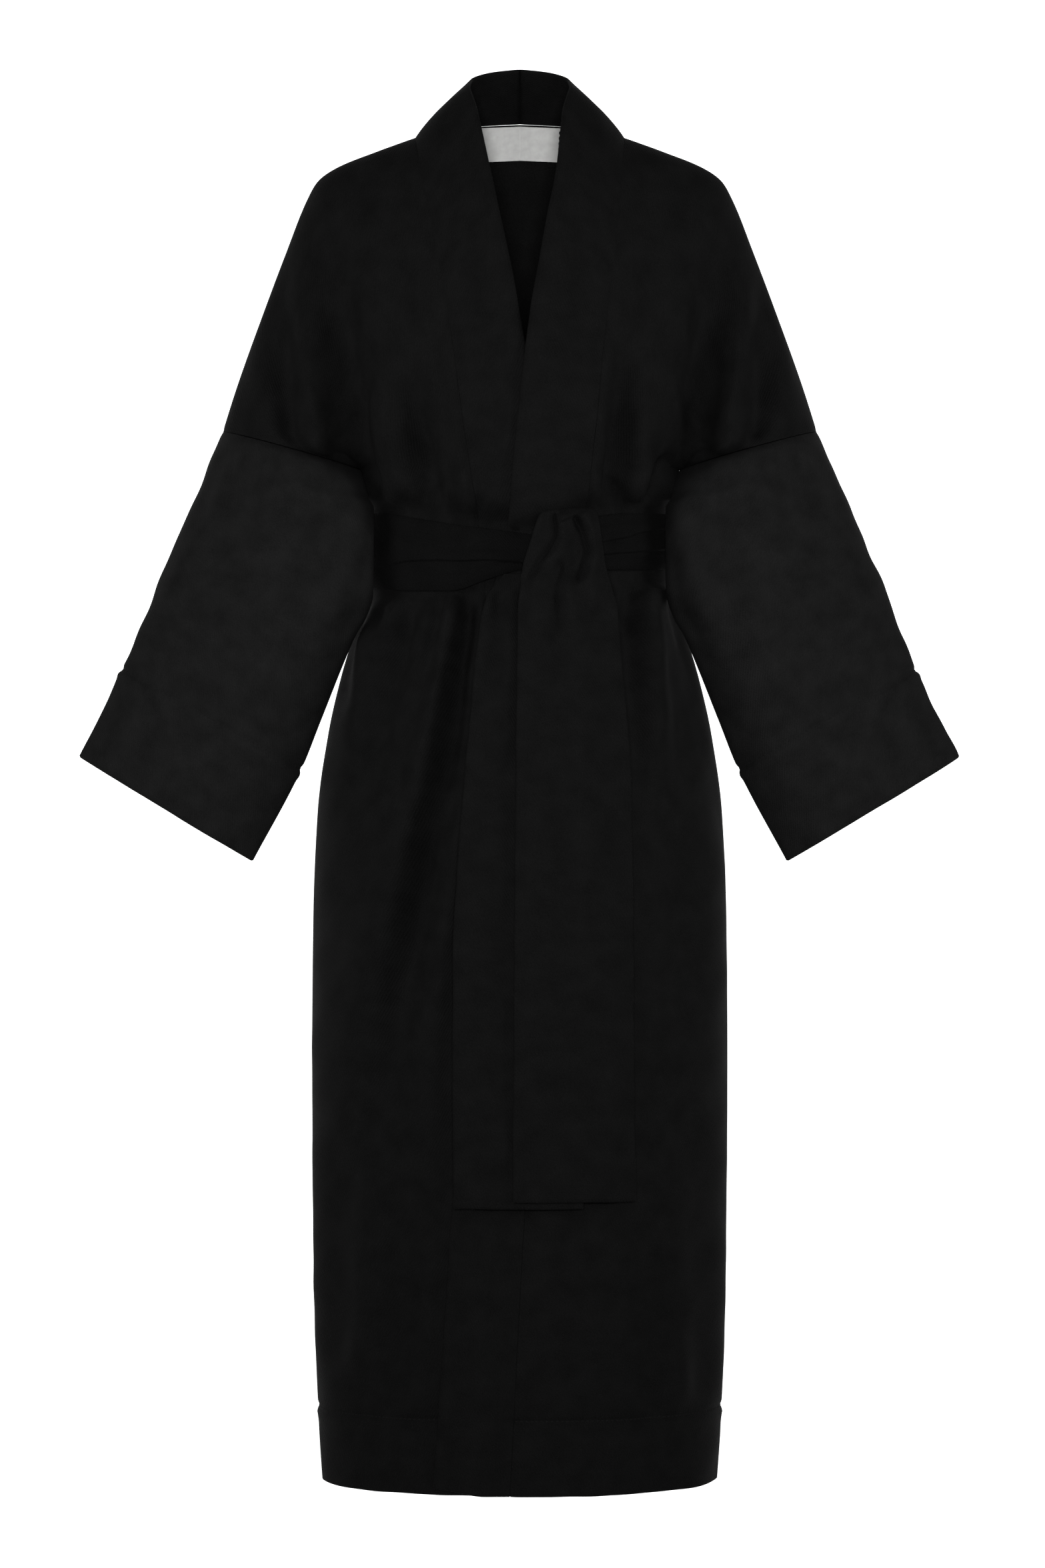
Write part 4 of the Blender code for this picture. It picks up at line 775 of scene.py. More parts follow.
def grid_normals(points, outside, ring=False):
    """Unit normals of a grid, turned to the outside by the sign given."""
    along = np.gradient(points, axis=0)
    if ring:
        across = np.roll(points, -1, axis=1) - np.roll(points, 1, axis=1)
    else:
        across = np.gradient(points, axis=1)
    return outside * unit(np.cross(across, along))


def flatten_normals(normals, axis):
    """Normals turned square to an axis, so that two sewn edges face each other squarely."""
    return unit(normals - (normals @ axis)[..., None] * axis)


def yoke(top, low, arm_depth, wrap, lean, rows):
    """Cloth that falls from the shoulder line to the underarm row.

    Near the neck it is a quarter oval over the chest, at the armhole half a ring round the arm.
    """
    fall = rows[:, None]
    quarter = blend(np.cos(fall * np.pi / 2), 1.0 - fall, lean)
    swell = blend(np.sin(fall * np.pi / 2), fall, lean)
    half = 0.5 * (1.0 + np.cos(fall * np.pi))
    height = blend(quarter, half, wrap)
    x = low[:, 0] + (top[:, 0] - low[:, 0]) * height
    z = low[:, 2] + (top[:, 2] - low[:, 2]) * height
    chest_y = top[:, 1] + (low[:, 1] - top[:, 1]) * swell
    arm_y = low[:, 1] * fall ** 2 + arm_depth * np.sin(fall * np.pi)
    return stack(x, blend(chest_y, arm_y, wrap), z)


def shoulder_line(share):
    """Point of the shoulder line: 0 at the neck point, 1 at the sleeve seam."""
    points = np.array([(row.x, row.z) for row in SHOULDER])
    lengths = path_lengths(points)
    knots = lengths / lengths[-1]
    return stack(through(knots, points[:, 0], share), 0.0, through(knots, points[:, 1], share))


def underarm_row(angle, share):
    """Row at the underarm height; its last columns reach out to the underarm point."""
    points = oval(np.full(len(angle), UNDERARM_Z), angle)
    reach = (UNDERARM_X - SECTIONS[0].half_width) * smoothstep(share, UNDERARM_REACH_START, 1.0)
    points[:, 0] += np.sign(points[:, 0]) * reach
    return points


def front_panel(side, share, yoke_rows, body_rows):
    """Smooth surface of a front panel, from its band seam to its side seam, in its own side's +X."""
    name = band_side(side)
    seam_x = float(read(BAND_SEAM, name, UNDERARM_Z))
    seam_angle = float(angle_at(seam_x, UNDERARM_Z))
    low = underarm_row(blend(seam_angle, np.pi / 2, share), share)
    wrap = smoothstep(share, ARM_WRAP_START, 1.0)
    upper = yoke(shoulder_line(share), low, -ARM_DEPTH, wrap, 0.0, yoke_rows)
    shift = read(BAND_SEAM, name, upper[:, :1, 2]) - upper[:, :1, 0]
    upper[..., 0] += shift * (1.0 - share) ** 3
    z = body_rows[:, None]
    seam_angles = angle_at(read(BAND_SEAM, name, z), z)
    lower = oval(z + 0.0 * share, blend(seam_angles, np.pi / 2, share))
    return np.concatenate((upper, lower))


def neck_edge(side, stations):
    """Free edge of the neckband from the centre back to the underarm row, in its own side's +X."""
    name = band_side(side)
    end_x = float(read(BAND_FREE, name, UNDERARM_Z))
    end = oval(np.array(UNDERARM_Z), angle_at(end_x, UNDERARM_Z))
    knots = [row.station for row in NECK_EDGE] + [2.0]
    x = [getattr(row, name + "_x") for row in NECK_EDGE] + [end[0]]
    y = [row.y for row in NECK_EDGE] + [end[1]]
    z = [row.z for row in NECK_EDGE] + [end[2]]
    return stack(through(knots, x, stations), through(knots, y, stations), through(knots, z, stations))


def band_strip(seam, free, share):
    """Strip from the free edge to the seam, rolled a little outwards across its width."""
    share = share[None, :, None]
    strip = blend(free[:, None], seam[:, None], share)
    out = grid_normals(strip, -1.0)
    return strip + out * BAND_ROLL * 4.0 * share * (1.0 - share)


def front_band(side, seam, share, yoke_rows, body_rows):
    """Smooth surface of the band's front, from its free edge to its seam, in its own side's +X."""
    name = band_side(side)
    count = len(yoke_rows)
    upper = band_strip(seam[:count], neck_edge(side, 1.0 + yoke_rows), share)
    z = body_rows[:, None]
    free_angle = angle_at(read(BAND_FREE, name, z), z)
    seam_angle = angle_at(read(BAND_SEAM, name, z), z)
    lower = oval(z + 0.0 * share, blend(free_angle, seam_angle, share))
    return np.concatenate((upper, lower))


def back_neck(share):
    """Point of the back neckline: 0 at the centre back, 1 at the neck point."""
    angle = [math.atan2(row.x, row.y) for row in BACK_NECK]
    at = np.asarray(share) * np.pi / 2
    columns = [through(angle, [row[axis] for row in BACK_NECK], at) for axis in range(3)]
    return stack(*columns)


def gather_folds(gathers, z, way, left_rise=0.0):
    """Folds that run up (1) or down (-1) from an edge of the sash.

    The bottom edge may lie higher on the left. Folds above the top edge follow its drop, also at the back.
    """
    folds = []
    for row in gathers:
        start = z + (left_rise if row.x > 0 else 0.0)
        if way > 0:
            start -= float(top_edge_drop(row.x))
        folds.append(Fold(row.x, start, row.x + row.lean, start + way * row.length, row.depth, row.width))
    return tuple(folds)


def all_front_folds():
    """Every fold of the fronts, the largest first."""
    above = gather_folds(FRONT_GATHERS_ABOVE, GATHER_TOP_Z, 1)
    below = gather_folds(FRONT_GATHERS_BELOW, GATHER_BOTTOM_Z, -1, SASH_RISE_LEFT)
    return FRONT_FOLDS + FRONT_CREASES + above + below


def all_back_folds():
    """Every fold of the back, the largest first."""
    above = gather_folds(BACK_GATHERS_ABOVE, GATHER_TOP_Z, 1)
    below = gather_folds(BACK_GATHERS_BELOW, GATHER_BOTTOM_Z, -1)
    return BACK_FOLDS + BACK_CREASES + above + below


def ripple(points):
    """Slow unevenness that neighbouring pieces share."""
    height = np.zeros(points.shape[:-1])
    for row in RIPPLES:
        turn = 2.0 * np.pi * (row.across * points[..., 0] + row.up * points[..., 2])
        height += row.height * np.sin(turn + row.phase)
    return height


def body_ripple(points):
    """Slow unevenness of the panels, none at the side seams."""
    return ripple(points) * smoothstep(np.abs(points[..., 1]), *FOLD_SIDE_FADE)


def skirt_flare(points, rise):
    """How far the skirt stands out just below the sash where the sash's bottom edge lies higher."""
    below = (points[..., 2] - FLARE_Z) / FLARE_WIDTH
    return FLARE_OUT * rise / SASH_RISE_LEFT * np.exp(-below ** 2)


def blouse_share(points):
    """How much further out the front lies where it falls over a sash whose top edge lies lower."""
    z = points[..., 2]
    above_sash = np.minimum(z + sash_drop(points), UNDERARM_Z)
    return read(SECTIONS, "front", above_sash) / read(SECTIONS, "front", np.minimum(z, UNDERARM_Z))


def dip(distance, depth, width):
    """Soft trough along a line."""
    return -depth * np.exp(-(distance / width) ** 2)


def stitched_line(distance):
    """Relief beside a stitched line, by the distance past it: a trough, then a soft ridge."""
    ridge = (distance - LINE_RIDGE_PLACE) / LINE_RIDGE_WIDTH
    return dip(distance, LINE_DIP, LINE_DIP_WIDTH) + LINE_RIDGE * np.exp(-ridge ** 2)


def across_from(cloth, column):
    """Distance of each point from one column, along its row."""
    steps = np.linalg.norm(np.diff(cloth, axis=1), axis=-1)
    reach = np.concatenate((np.zeros((len(cloth), 1)), np.cumsum(steps, axis=1)), axis=1)
    return np.abs(reach - reach[:, column][:, None])


def down_from_top(cloth):
    """Distance of each point from the top row, along its column."""
    return across_from(np.swapaxes(cloth, 0, 1), 0).T


def seam_dips(cloth, columns):
    """Troughs along seams that run down the given columns, and along the top row."""
    lift = sum(dip(across_from(cloth, column), SEAM_DIP, SEAM_DIP_WIDTH) for column in columns)
    return lift + dip(down_from_top(cloth), SEAM_DIP, SEAM_DIP_WIDTH)


def panel_shares(columns):
    """Column places across a panel, closer together beside its two seams."""
    return np.unique(np.concatenate((np.linspace(0.0, 1.0, columns), NEAR_SEAM, 1.0 - NEAR_SEAM)))


def fine_body_rows():
    """Row heights below the underarm, closer together at the hem line and the hem."""
    even = np.arange(UNDERARM_Z - ROW_STEP, HEM_Z + ROW_STEP, -ROW_STEP)
    line = HEM_LINE_Z + np.concatenate((-NEAR_LINE, (0.0,), NEAR_LINE))
    clear = even[np.min(np.abs(even[:, None] - line), axis=1) > LINE_CLEARANCE]
    return np.sort(np.concatenate((clear, line, HEM_Z + NEAR_HEM)))[::-1]


def front_cloth(side, crease, yoke_rows, body_rows):
    """Band and panel of one front as a single surface with its lap and folds, and its normals."""
    panel_share = panel_shares(FRONT_COLUMNS)
    band_share = np.linspace(0.0, 1.0, BAND_COLUMNS + 1)
    panel = front_panel(side, panel_share, yoke_rows, body_rows)
    band = front_band(side, panel[:, 0], band_share, yoke_rows, body_rows)
    cloth = np.concatenate((band[:, :-1], panel), axis=1)
    cloth[..., 0] *= side
    cloth[..., 1] *= blouse_share(cloth)
    out = grid_normals(cloth, -side)
    count = len(yoke_rows)
    out[:count, -1] = flatten_normals(out[:count, -1], ARM_AXIS * (side, 1, 1))
    lift = crease * fold_relief(cloth, all_front_folds()) * lap_calm(cloth[..., 0], cloth[..., 2])
    lift[:count] *= armhole_calm(panel_share, BAND_COLUMNS)
    lift += body_ripple(cloth) + skirt_flare(cloth, sash_rise(cloth))
    dips = seam_dips(cloth, (-1,)) + stitched_line(HEM_LINE_Z - cloth[..., 2])
    dips[:, :BAND_COLUMNS] = 0.0
    lift += dips + band_seam_dip(cloth)
    if side > 0:
        lift += lap(cloth[..., 0], cloth[..., 2])
    cloth = cloth + out * lift[..., None]
    return cloth, front_normals(cloth, side, count, BAND_COLUMNS)


def band_seam_dip(cloth):
    """Trough along the band's seam, hardly seen above the chest."""
    depth = BAND_DIP * blend(BAND_DIP_HIGH_SHARE, 1.0, smoothstep(-cloth[..., 2], *BAND_DIP_FADE))
    return dip(across_from(cloth, BAND_COLUMNS), depth, SEAM_DIP_WIDTH)


def armhole_calm(share, band_columns=0):
    """Share of a fold that is kept in each column: none at the armhole, so that the sleeve meets it."""
    return np.concatenate((np.ones(band_columns), 1.0 - smoothstep(share, FINE_CALM_START, 1.0)))


def front_normals(cloth, side, yoke_count, seam_column):
    """Normals of a front, squared up at the shoulder, armhole and side seam."""
    out = grid_normals(cloth, -side)
    arm_axis = ARM_AXIS * (side, 1, 1)
    out[0, seam_column:] = flatten_normals(out[0, seam_column:], ALONG_Y)
    out[yoke_count:, -1] = flatten_normals(out[yoke_count:, -1], ALONG_Y)
    out[:yoke_count, -1] = ring_normals(cloth[:yoke_count, -1], arm_axis)
    out[0, -1] = flatten_normals(out[0, -1], ALONG_Y)
    out[yoke_count - 1, -1] = arm_axis
    return out


def ring_normals(edge, axis):
    """Normals of an armhole edge that lie in its plane and point away from the arm's middle."""
    out = unit(np.cross(np.gradient(edge, axis=0), axis))
    middle = 0.5 * (edge[0] + edge[-1])
    middle = middle - (0.0, middle[1], 0.0)
    return out * np.sign(np.sum(out * (edge - middle), axis=-1, keepdims=True) + 1e-9)


def part_at_seam(cloth, column, way):
    """Copy of a grid with one edge column drawn back from the band's seam by half the seam's space."""
    moved = cloth.copy()
    drawn = unit(cloth[:, column + way] - cloth[:, column])
    space = SEAM * blend(BAND_DIP_HIGH_SHARE, 1.0, smoothstep(-cloth[:, column, 2], *BAND_DIP_FADE))
    moved[:, column] += 0.5 * space[:, None] * drawn
    return moved


def whole_band(side, front, front_out, neck_out):
    """Half of the neckband from the centre back to the hem, its normals and its thickness.

    Its seam shares the normals of the panels that it is sewn to.
    """
    back_rows = len(neck_out) - 1
    stations = np.linspace(0.0, 1.0, back_rows, endpoint=False)
    share = np.linspace(0.0, 1.0, front.shape[1])
    strip = band_strip(back_neck(stations), neck_edge(side, stations), share)
    strip[..., 0] *= side
    band = np.concatenate((strip, front))
    out = grid_normals(band, -side)
    centre_back = dip(down_from_top(band), SEAM_DIP, SEAM_DIP_WIDTH)
    band = band + out * centre_back[..., None]
    out[:back_rows + 1, -1] = neck_out
    out[back_rows + 1:, -1] = front_out[1:, -1]
    out[0] = flatten_normals(out[0], ALONG_X)
    groove = DOUBLE + dip(down_from_top(band), CENTRE_GROOVE, CENTRE_GROOVE_WIDTH)
    band = part_at_seam(band, -1, -1)
    neck_rows = slice(0, back_rows + 2)
    drawn = unit(band[neck_rows, -2] - band[neck_rows, -1])
    band[neck_rows, -1] += 0.5 * (NECK_SEAM - SEAM) * drawn
    band[0, :, 0] = 0.0
    if side > 0:
        free = np.linspace(1.0, 0.0, front.shape[1])
        near_hem = smoothstep(-band[..., 2], -HEM_Z - CORNER_HEIGHT, -HEM_Z)
        band[..., 2] += CORNER_RISE * smoothstep(free, CORNER_START, 1.0) * near_hem
    return band, out, groove[..., None]


def back_shares(neck_columns, arm_columns):
    """Column places across the back: -1 the right armhole, 0 the centre back, 1 the left armhole."""
    neck = np.linspace(0.0, BACK_NECK_SHARE, neck_columns, endpoint=False)
    arm = np.linspace(BACK_NECK_SHARE, 1.0, arm_columns)
    half = np.unique(np.concatenate((neck, arm, 1.0 - NEAR_SEAM)))
    return np.concatenate((-half[:0:-1], half))


def back_cloth(crease, share, yoke_rows, body_rows):
    """Back panel from the right side seam to the left, with its folds, and its normals."""
    size = np.abs(share)
    sign = np.where(share < 0, -1.0, 1.0)
    on_neck = size < BACK_NECK_SHARE
    arm_share = np.clip((size - BACK_NECK_SHARE) / (1.0 - BACK_NECK_SHARE), 0.0, 1.0)
    neck = back_neck(np.clip(size / BACK_NECK_SHARE, 0.0, 1.0))
    top = np.where(on_neck[:, None], neck, shoulder_line(arm_share))
    low = underarm_row(np.pi - size * np.pi / 2, size)
    lean = BACK_NECK_LEAN * (1.0 - smoothstep(size, 0.5 * BACK_NECK_SHARE, BACK_NECK_SHARE))
    wrap = smoothstep(arm_share, ARM_WRAP_START, 1.0)
    upper = yoke(top, low, ARM_DEPTH, wrap, lean, yoke_rows)
    lower = oval(body_rows[:, None] + 0.0 * size, np.pi - size * np.pi / 2)
    cloth = np.concatenate((upper, lower))
    cloth[..., 0] *= sign
    out = grid_normals(cloth, 1.0)
    lift = crease * fold_relief(cloth, all_back_folds())
    lift[:len(yoke_rows)] *= armhole_calm(size)
    lift += body_ripple(cloth) + skirt_flare(cloth, sash_rise(cloth)) + seam_dips(cloth, (0, -1))
    lift += stitched_line(HEM_LINE_Z - cloth[..., 2])
    cloth = cloth + out * lift[..., None]
    return cloth, back_normals(cloth, len(yoke_rows), ~on_neck)


def back_normals(cloth, yoke_count, on_shoulder):
    """Normals of the back, squared up at the shoulders, armholes and side seams."""
    out = grid_normals(cloth, 1.0)
    out[0, on_shoulder] = flatten_normals(out[0, on_shoulder], ALONG_Y)
    for column, side in ((0, -1), (-1, 1)):
        arm_axis = ARM_AXIS * (side, 1, 1)
        out[yoke_count:, column] = flatten_normals(out[yoke_count:, column], ALONG_Y)
        out[:yoke_count, column] = ring_normals(cloth[:yoke_count, column], arm_axis)
        out[0, column] = flatten_normals(out[0, column], ALONG_Y)
        out[yoke_count - 1, column] = arm_axis
    return out


def neck_normals(back_out):
    """Normals that the back and the band share along the left half of the neckline."""
    stations = np.linspace(0.0, 1.0, BACK_NECK_COLUMNS + 1)
    share = np.linspace(0.0, 1.0, BAND_COLUMNS + 1)
    strip = band_strip(back_neck(stations), neck_edge(1, stations), share)
    middle = len(back_out) // 2
    out = unit(grid_normals(strip, -1.0)[:, -1] + back_out[middle:middle + len(stations)])
    for _ in range(NECK_SMOOTHING):
        out[1:-1] = unit(out[:-2] + 2.0 * out[1:-1] + out[2:])
    out[0] = flatten_normals(out[0], ALONG_X)
    out[-1] = flatten_normals(out[-1], ALONG_Y)
    return out


def sleeve_stations():
    """Places down the sleeve, closer together at the armhole and the cuff line."""
    even = np.linspace(0.0, 1.0, SLEEVE_STEPS)
    near = NEAR_LINE / SLEEVE_LENGTH
    line = CUFF_STATION + np.concatenate((-near, (0.0,), near))
    clear = even[np.min(np.abs(even[:, None] - line), axis=1) > CUFF_CLEARANCE]
    return np.unique(np.concatenate((clear, line, near)))


def sleeve_cloth(side, crease, stations):
    """Sleeve tube from the armhole to the cuff, and its normals."""
    rows = np.asarray(stations)[:, None]
    angle = np.linspace(0.0, 2.0 * np.pi, SLEEVE_AROUND, endpoint=False)[None, :]
    part = {name: read(SLEEVE_RINGS, name, rows, "station") for name in Ring._fields[1:]}
    reach = 0.5 * (1.0 + np.cos(angle))
    x = blend(part["inner_x"], part["outer_x"], reach)
    z = blend(part["inner_z"], part["outer_z"], reach)
    middle = blend(part["inner_y"], part["outer_y"], reach)
    y = middle - part["depth"] * power(np.sin(angle), part["point"])
    cloth = stack(side * x, y, z)
    cloth[0] += SEAM * ARM_AXIS * (side, 1, 1)
    out = grid_normals(cloth, side, ring=True)
    lift = crease * sleeve_relief(rows, np.degrees(angle))
    calm = smoothstep(rows, 0.0, SLEEVE_TOP_CALM) * smoothstep(reach, 0.0, SLEEVE_INNER_CALM)
    lift += ripple(cloth) * calm
    lift += dip(rows * SLEEVE_LENGTH, SEAM_DIP, SEAM_DIP_WIDTH)
    lift += stitched_line((rows - CUFF_STATION) * SLEEVE_LENGTH)
    cloth = cloth + out * lift[..., None]
    out = grid_normals(cloth, side, ring=True)
    out[0] = flatten_normals(out[0], ARM_AXIS * (side, 1, 1))
    return cloth, out


def sleeve_relief(station, degrees):
    """Long soft folds and smaller creases down the sleeve."""
    relief = np.zeros(np.broadcast_shapes(station.shape, degrees.shape))
    for fold in SLEEVE_FOLDS + SLEEVE_CREASES:
        across = (degrees - fold.angle) / fold.width
        along = (station - fold.start) / (fold.end - fold.start)
        strength = fold_strength(along, SLEEVE_FOLD_RISE, SLEEVE_FOLD_FALL)
        relief += fold.depth * strength * fold_profile(across)
    return relief


def fold_step(distance):
    """Edge of a layer that lies over the next one: a rise up to the line, then a sharp drop."""
    return -np.tanh(distance / STEP_EDGE) * np.exp(-np.abs(distance) / STEP_REACH)


def sash_relief(angle, share, width, crease):
    """Swell of the sash, the edges of its pleats and its small creases."""
    relief = BELT_PLEAT * np.abs(np.sin(np.pi * share)) ** SASH_FULLNESS
    for name in ("first", "second"):
        line = read(SASH, name, angle, "angle")
        edge = read(SASH, name + "_edge", angle, "angle")
        relief = relief + STEP_HEIGHT * edge * fold_step((share - line) * width)
    for row in SASH_CREASES:
        along = (angle - row.start) / (row.end - row.start)
        middle = blend(row.share_start, row.share_end, np.clip(along, 0.0, 1.0))
        across = (share - middle) / row.width
        strength = fold_strength(along, SASH_CREASE_RISE, SASH_CREASE_FALL)
        relief += crease * row.depth * strength * fold_profile(across)
    return relief


def sash_cloth(crease):
    """Sash round the waist, both ends under the knot, and its normals."""
    angle = np.linspace(SASH[0].angle, SASH[-1].angle - SASH_END_GAP, SASH_COLUMNS)[None, :]
    share = np.linspace(0.0, 1.0, SASH_ROWS)[:, None]
    top = read(SASH, "top", angle, "angle")
    bottom = read(SASH, "bottom", angle, "angle")
    z = blend(top, bottom, share)
    base = oval(np.full(z.shape, WAIST_Z), np.radians(angle) + 0.0 * z)
    base[..., 2] = z
    out = flatten_normals(grid_normals(base, -1.0), ALONG_Z)
    front = np.cos(np.radians(angle)) > 0
    rise = np.where(front, sash_lap(base[..., 0], z), 0.0) + LAY + DOUBLE
    cloth = base + out * (rise + sash_relief(angle, share, top - bottom, crease))[..., None]
    return cloth, grid_normals(cloth, -1.0)


def soft_section(column, z):
    """One size of the body's section, evened out over some height."""
    return sum(read(SECTIONS, column, z + step) for step in SOFT_STEPS) / len(SOFT_STEPS)


def on_front(x, z, out):
    """Point that stands out from the smooth lapped front at a place in the front view."""
    half_width = soft_section("half_width", z)
    front = soft_section("front", z)
    y = -front * (1.0 - np.abs(x / half_width) ** ROUNDNESS) ** (1.0 / ROUNDNESS)
    base = stack(x, y, z)
    slope_x = power(base[..., 0] / half_width, ROUNDNESS - 1.0) / half_width
    slope_y = power(base[..., 1] / front, ROUNDNESS - 1.0) / front
    way = unit(stack(slope_x, slope_y, 0.0 * slope_x))
    return base + way * (lap(x, z) + out)[..., None]


def tail_places(table):
    """Steps down a tail, closest at the knot, as places between the first and last row of its table."""
    knots = np.linspace(0.0, 1.0, len(table))
    dense = np.linspace(0.0, 1.0, TAIL_SAMPLES)
    columns = [[getattr(row, name) for row in table] for name in ("z", "out", "left")]
    reach = path_lengths(stack(*(through(knots, column, dense) for column in columns)))
    steps = np.linspace(0.0, 1.0, TAIL_ROWS)
    return np.interp(reach[-1] * blend(steps, steps ** 2, TAIL_CROWDING), reach, dense)


def line_distance(x, z, line):
    """Distance from a bent line, positive on the right of a falling one, and the place along it (0 to 1)."""
    points = np.array(line)
    runs = np.diff(points, axis=0)
    lengths = np.linalg.norm(runs, axis=1)
    starts = np.concatenate(([0.0], np.cumsum(lengths)))
    best = np.full(x.shape, np.inf)
    distance = np.zeros(x.shape)
    place = np.zeros(x.shape)
    for start, run, length, before in zip(points, runs, lengths, starts):
        along = ((x - start[0]) * run[0] + (z - start[1]) * run[1]) / length ** 2
        held = np.clip(along, 0.0, 1.0)
        away = np.hypot(x - start[0] - held * run[0], z - start[1] - held * run[1])
        side = np.sign((z - start[1]) * run[0] - (x - start[0]) * run[1])
        nearer = away < best
        best = np.where(nearer, away, best)
        distance = np.where(nearer, away * side, distance)
        place = np.where(nearer, (before + held * length) / starts[-1], place)
    return distance, place


def knot_relief(x, z):
    """Sharp bent folds of the knot: a crease with a rounded ridge on one side and a hollow on the other."""
    relief = np.zeros(x.shape)
    for row in KNOT_FOLDS:
        distance, place = line_distance(x, z, row.line)
        across = distance / row.width
        crease = -np.exp(-across ** 2)
        ridge = row.ridge * np.exp(-((across - RIDGE_PLACE) / RIDGE_WIDTH) ** 2)
        hollow = -row.hollow * np.exp(-((across + HOLLOW_PLACE) / HOLLOW_WIDTH) ** 2)
        strength = fold_strength(place, (0.0, row.rise), (row.fall, 1.0))
        relief += row.depth * strength * (crease + ridge + hollow)
    return relief


def tail_cloth(table, pleat_depth, folds, crease):
    """Sash tail that hangs in front of the skirt, and its normals."""
    knots = np.linspace(0.0, 1.0, len(table))
    at = tail_places(table)[:, None]
    part = {name: through(knots, [getattr(row, name) for row in table], at) for name in TailRow._fields}
    share = np.linspace(0.0, 1.0, TAIL_COLUMNS)[None, :]
    x = blend(part["left"], part["right"], share)
    z = part["z"] + 0.0 * x
    fade = smoothstep(part["z"], KNOT_PLEAT_END, KNOT_PLEAT_FULL) * smoothstep(at, 0.0, KNOT_PLEAT_RISE)
    pleat = 0.5 - 0.5 * np.cos(2.0 * np.pi * KNOT_PLEATS * share)
    flat = stack(x, 0.0 * x, z)
    small = line_relief(flat, folds)
    if pleat_depth:
        small = small + knot_relief(x, z)
    small = crease * small * smoothstep(at, *KNOT_FOLD_START) + ripple(flat)
    out = part["out"] + pleat_depth * fade * pleat + small
    cloth = on_front(x, np.minimum(z, WAIST_Z), out)
    cloth[..., 2] = z
    return cloth, grid_normals(cloth, -1.0)


def label_cloth(columns, rows):
    """Label on the inner face of the back, just below the neckline, and its normals."""
    fall = np.linspace(*LABEL_FALL, rows)
    x = np.linspace(-LABEL_HALF_WIDTH, LABEL_HALF_WIDTH, columns)
    share = np.array([label_share(abs(value)) for value in x])
    low = underarm_row(np.pi - share * np.pi / 2, share)
    top = back_neck(share / BACK_NECK_SHARE)
    lean = BACK_NECK_LEAN * (1.0 - smoothstep(share, 0.5 * BACK_NECK_SHARE, BACK_NECK_SHARE))
    cloth = yoke(top, low, ARM_DEPTH, 0.0, lean, fall)
    reach = path_lengths(cloth[:, columns // 2])
    fall = np.interp(np.linspace(0.0, LABEL_HEIGHT, rows), reach, fall)
    cloth = yoke(top, low, ARM_DEPTH, 0.0, lean, fall)
    cloth[..., 0] *= np.where(x < 0, -1.0, 1.0)
    out = grid_normals(cloth, 1.0)
    return cloth - out * (CLOTH + LABEL_LAY), out


def label_share(x):
    """Share of the back's half width whose neckline point lies at x."""
    shares = np.linspace(0.0, BACK_NECK_SHARE, NECK_SAMPLES)
    return float(np.interp(x, back_neck(shares / BACK_NECK_SHARE)[:, 0], shares))


def weave_lengths(outer):
    """Distance across and along the cloth of each grid point, which the weave follows."""
    across = np.linalg.norm(np.diff(outer, axis=1), axis=-1).mean(axis=0)
    along = np.linalg.norm(np.diff(outer, axis=0), axis=-1).mean(axis=1)
    u = np.concatenate(([0.0], np.cumsum(across)))[None, :]
    v = np.concatenate(([0.0], np.cumsum(along)))[:, None]
    return stack(u, v, 0.0)


EDGES = {"top": (0, 0, 1), "bottom": (0, -1, -2), "first": (1, 0, 1), "last": (1, -1, -2)}


def with_lip(outer, inner, weave, edge):
    """Both faces carried on to a shared rounded lip along one edge."""
    axis, end, beside = EDGES[edge]
    edge_outer = np.take(outer, [end], axis)
    edge_inner = np.take(inner, [end], axis)
    away = unit(edge_outer - np.take(outer, [beside], axis))
    thickness = np.linalg.norm(edge_outer - edge_inner, axis=-1, keepdims=True)
    lip = 0.5 * (edge_outer + edge_inner) + away * LIP * thickness
    grids = []
    for grid, line in ((outer, lip), (inner, lip), (weave, np.take(weave, [end], axis))):
        order = (line, grid) if end == 0 else (grid, line)
        grids.append(np.concatenate(order, axis))
    return grids


def grid_faces(index):
    """Four-sided faces between the neighbouring rows and columns of a grid of point numbers."""
    corners = (index[:-1, :-1], index[:-1, 1:], index[1:, 1:], index[1:, :-1])
    return np.stack(corners, axis=-1).reshape(-1, 4)


def shell(name, outer, out, thickness, material, ring=False, soft_edges=()):
    """Thin closed cloth shell with its outer face on the grid; soft edges are rounded, others square."""
    inner = outer - out * thickness
    weave = weave_lengths(outer)
    for edge in soft_edges:
        outer, inner, weave = with_lip(outer, inner, weave, edge)
    rows, columns = outer.shape[:2]
    count = rows * columns
    index = np.arange(count).reshape(rows, columns)
    if ring:
        index = np.concatenate((index, index[:, :1]), axis=1)
    faces = [grid_faces(index), grid_faces(index)[:, ::-1] + count]
    lines = {"top": index[0], "bottom": index[-1], "first": index[:, 0], "last": index[:, -1]}
    for edge, line in lines.items():
        if edge in soft_edges or (ring and EDGES[edge][0] == 1):
            continue
        faces.append(grid_faces(np.stack((line, line + count))))
    mesh = bpy.data.meshes.new(name)
    points = np.concatenate((outer.reshape(-1, 3), inner.reshape(-1, 3)))
    mesh.from_pydata(points.tolist(), [], np.concatenate(faces).tolist())
    lengths = np.concatenate((weave.reshape(-1, 3), weave.reshape(-1, 3)))
    place = mesh.attributes.new(WEAVE, "FLOAT_VECTOR", "POINT")
    place.data.foreach_set("vector", lengths.astype(np.float32).ravel())
    close_shell(mesh)
    return add_piece(name, mesh, material)


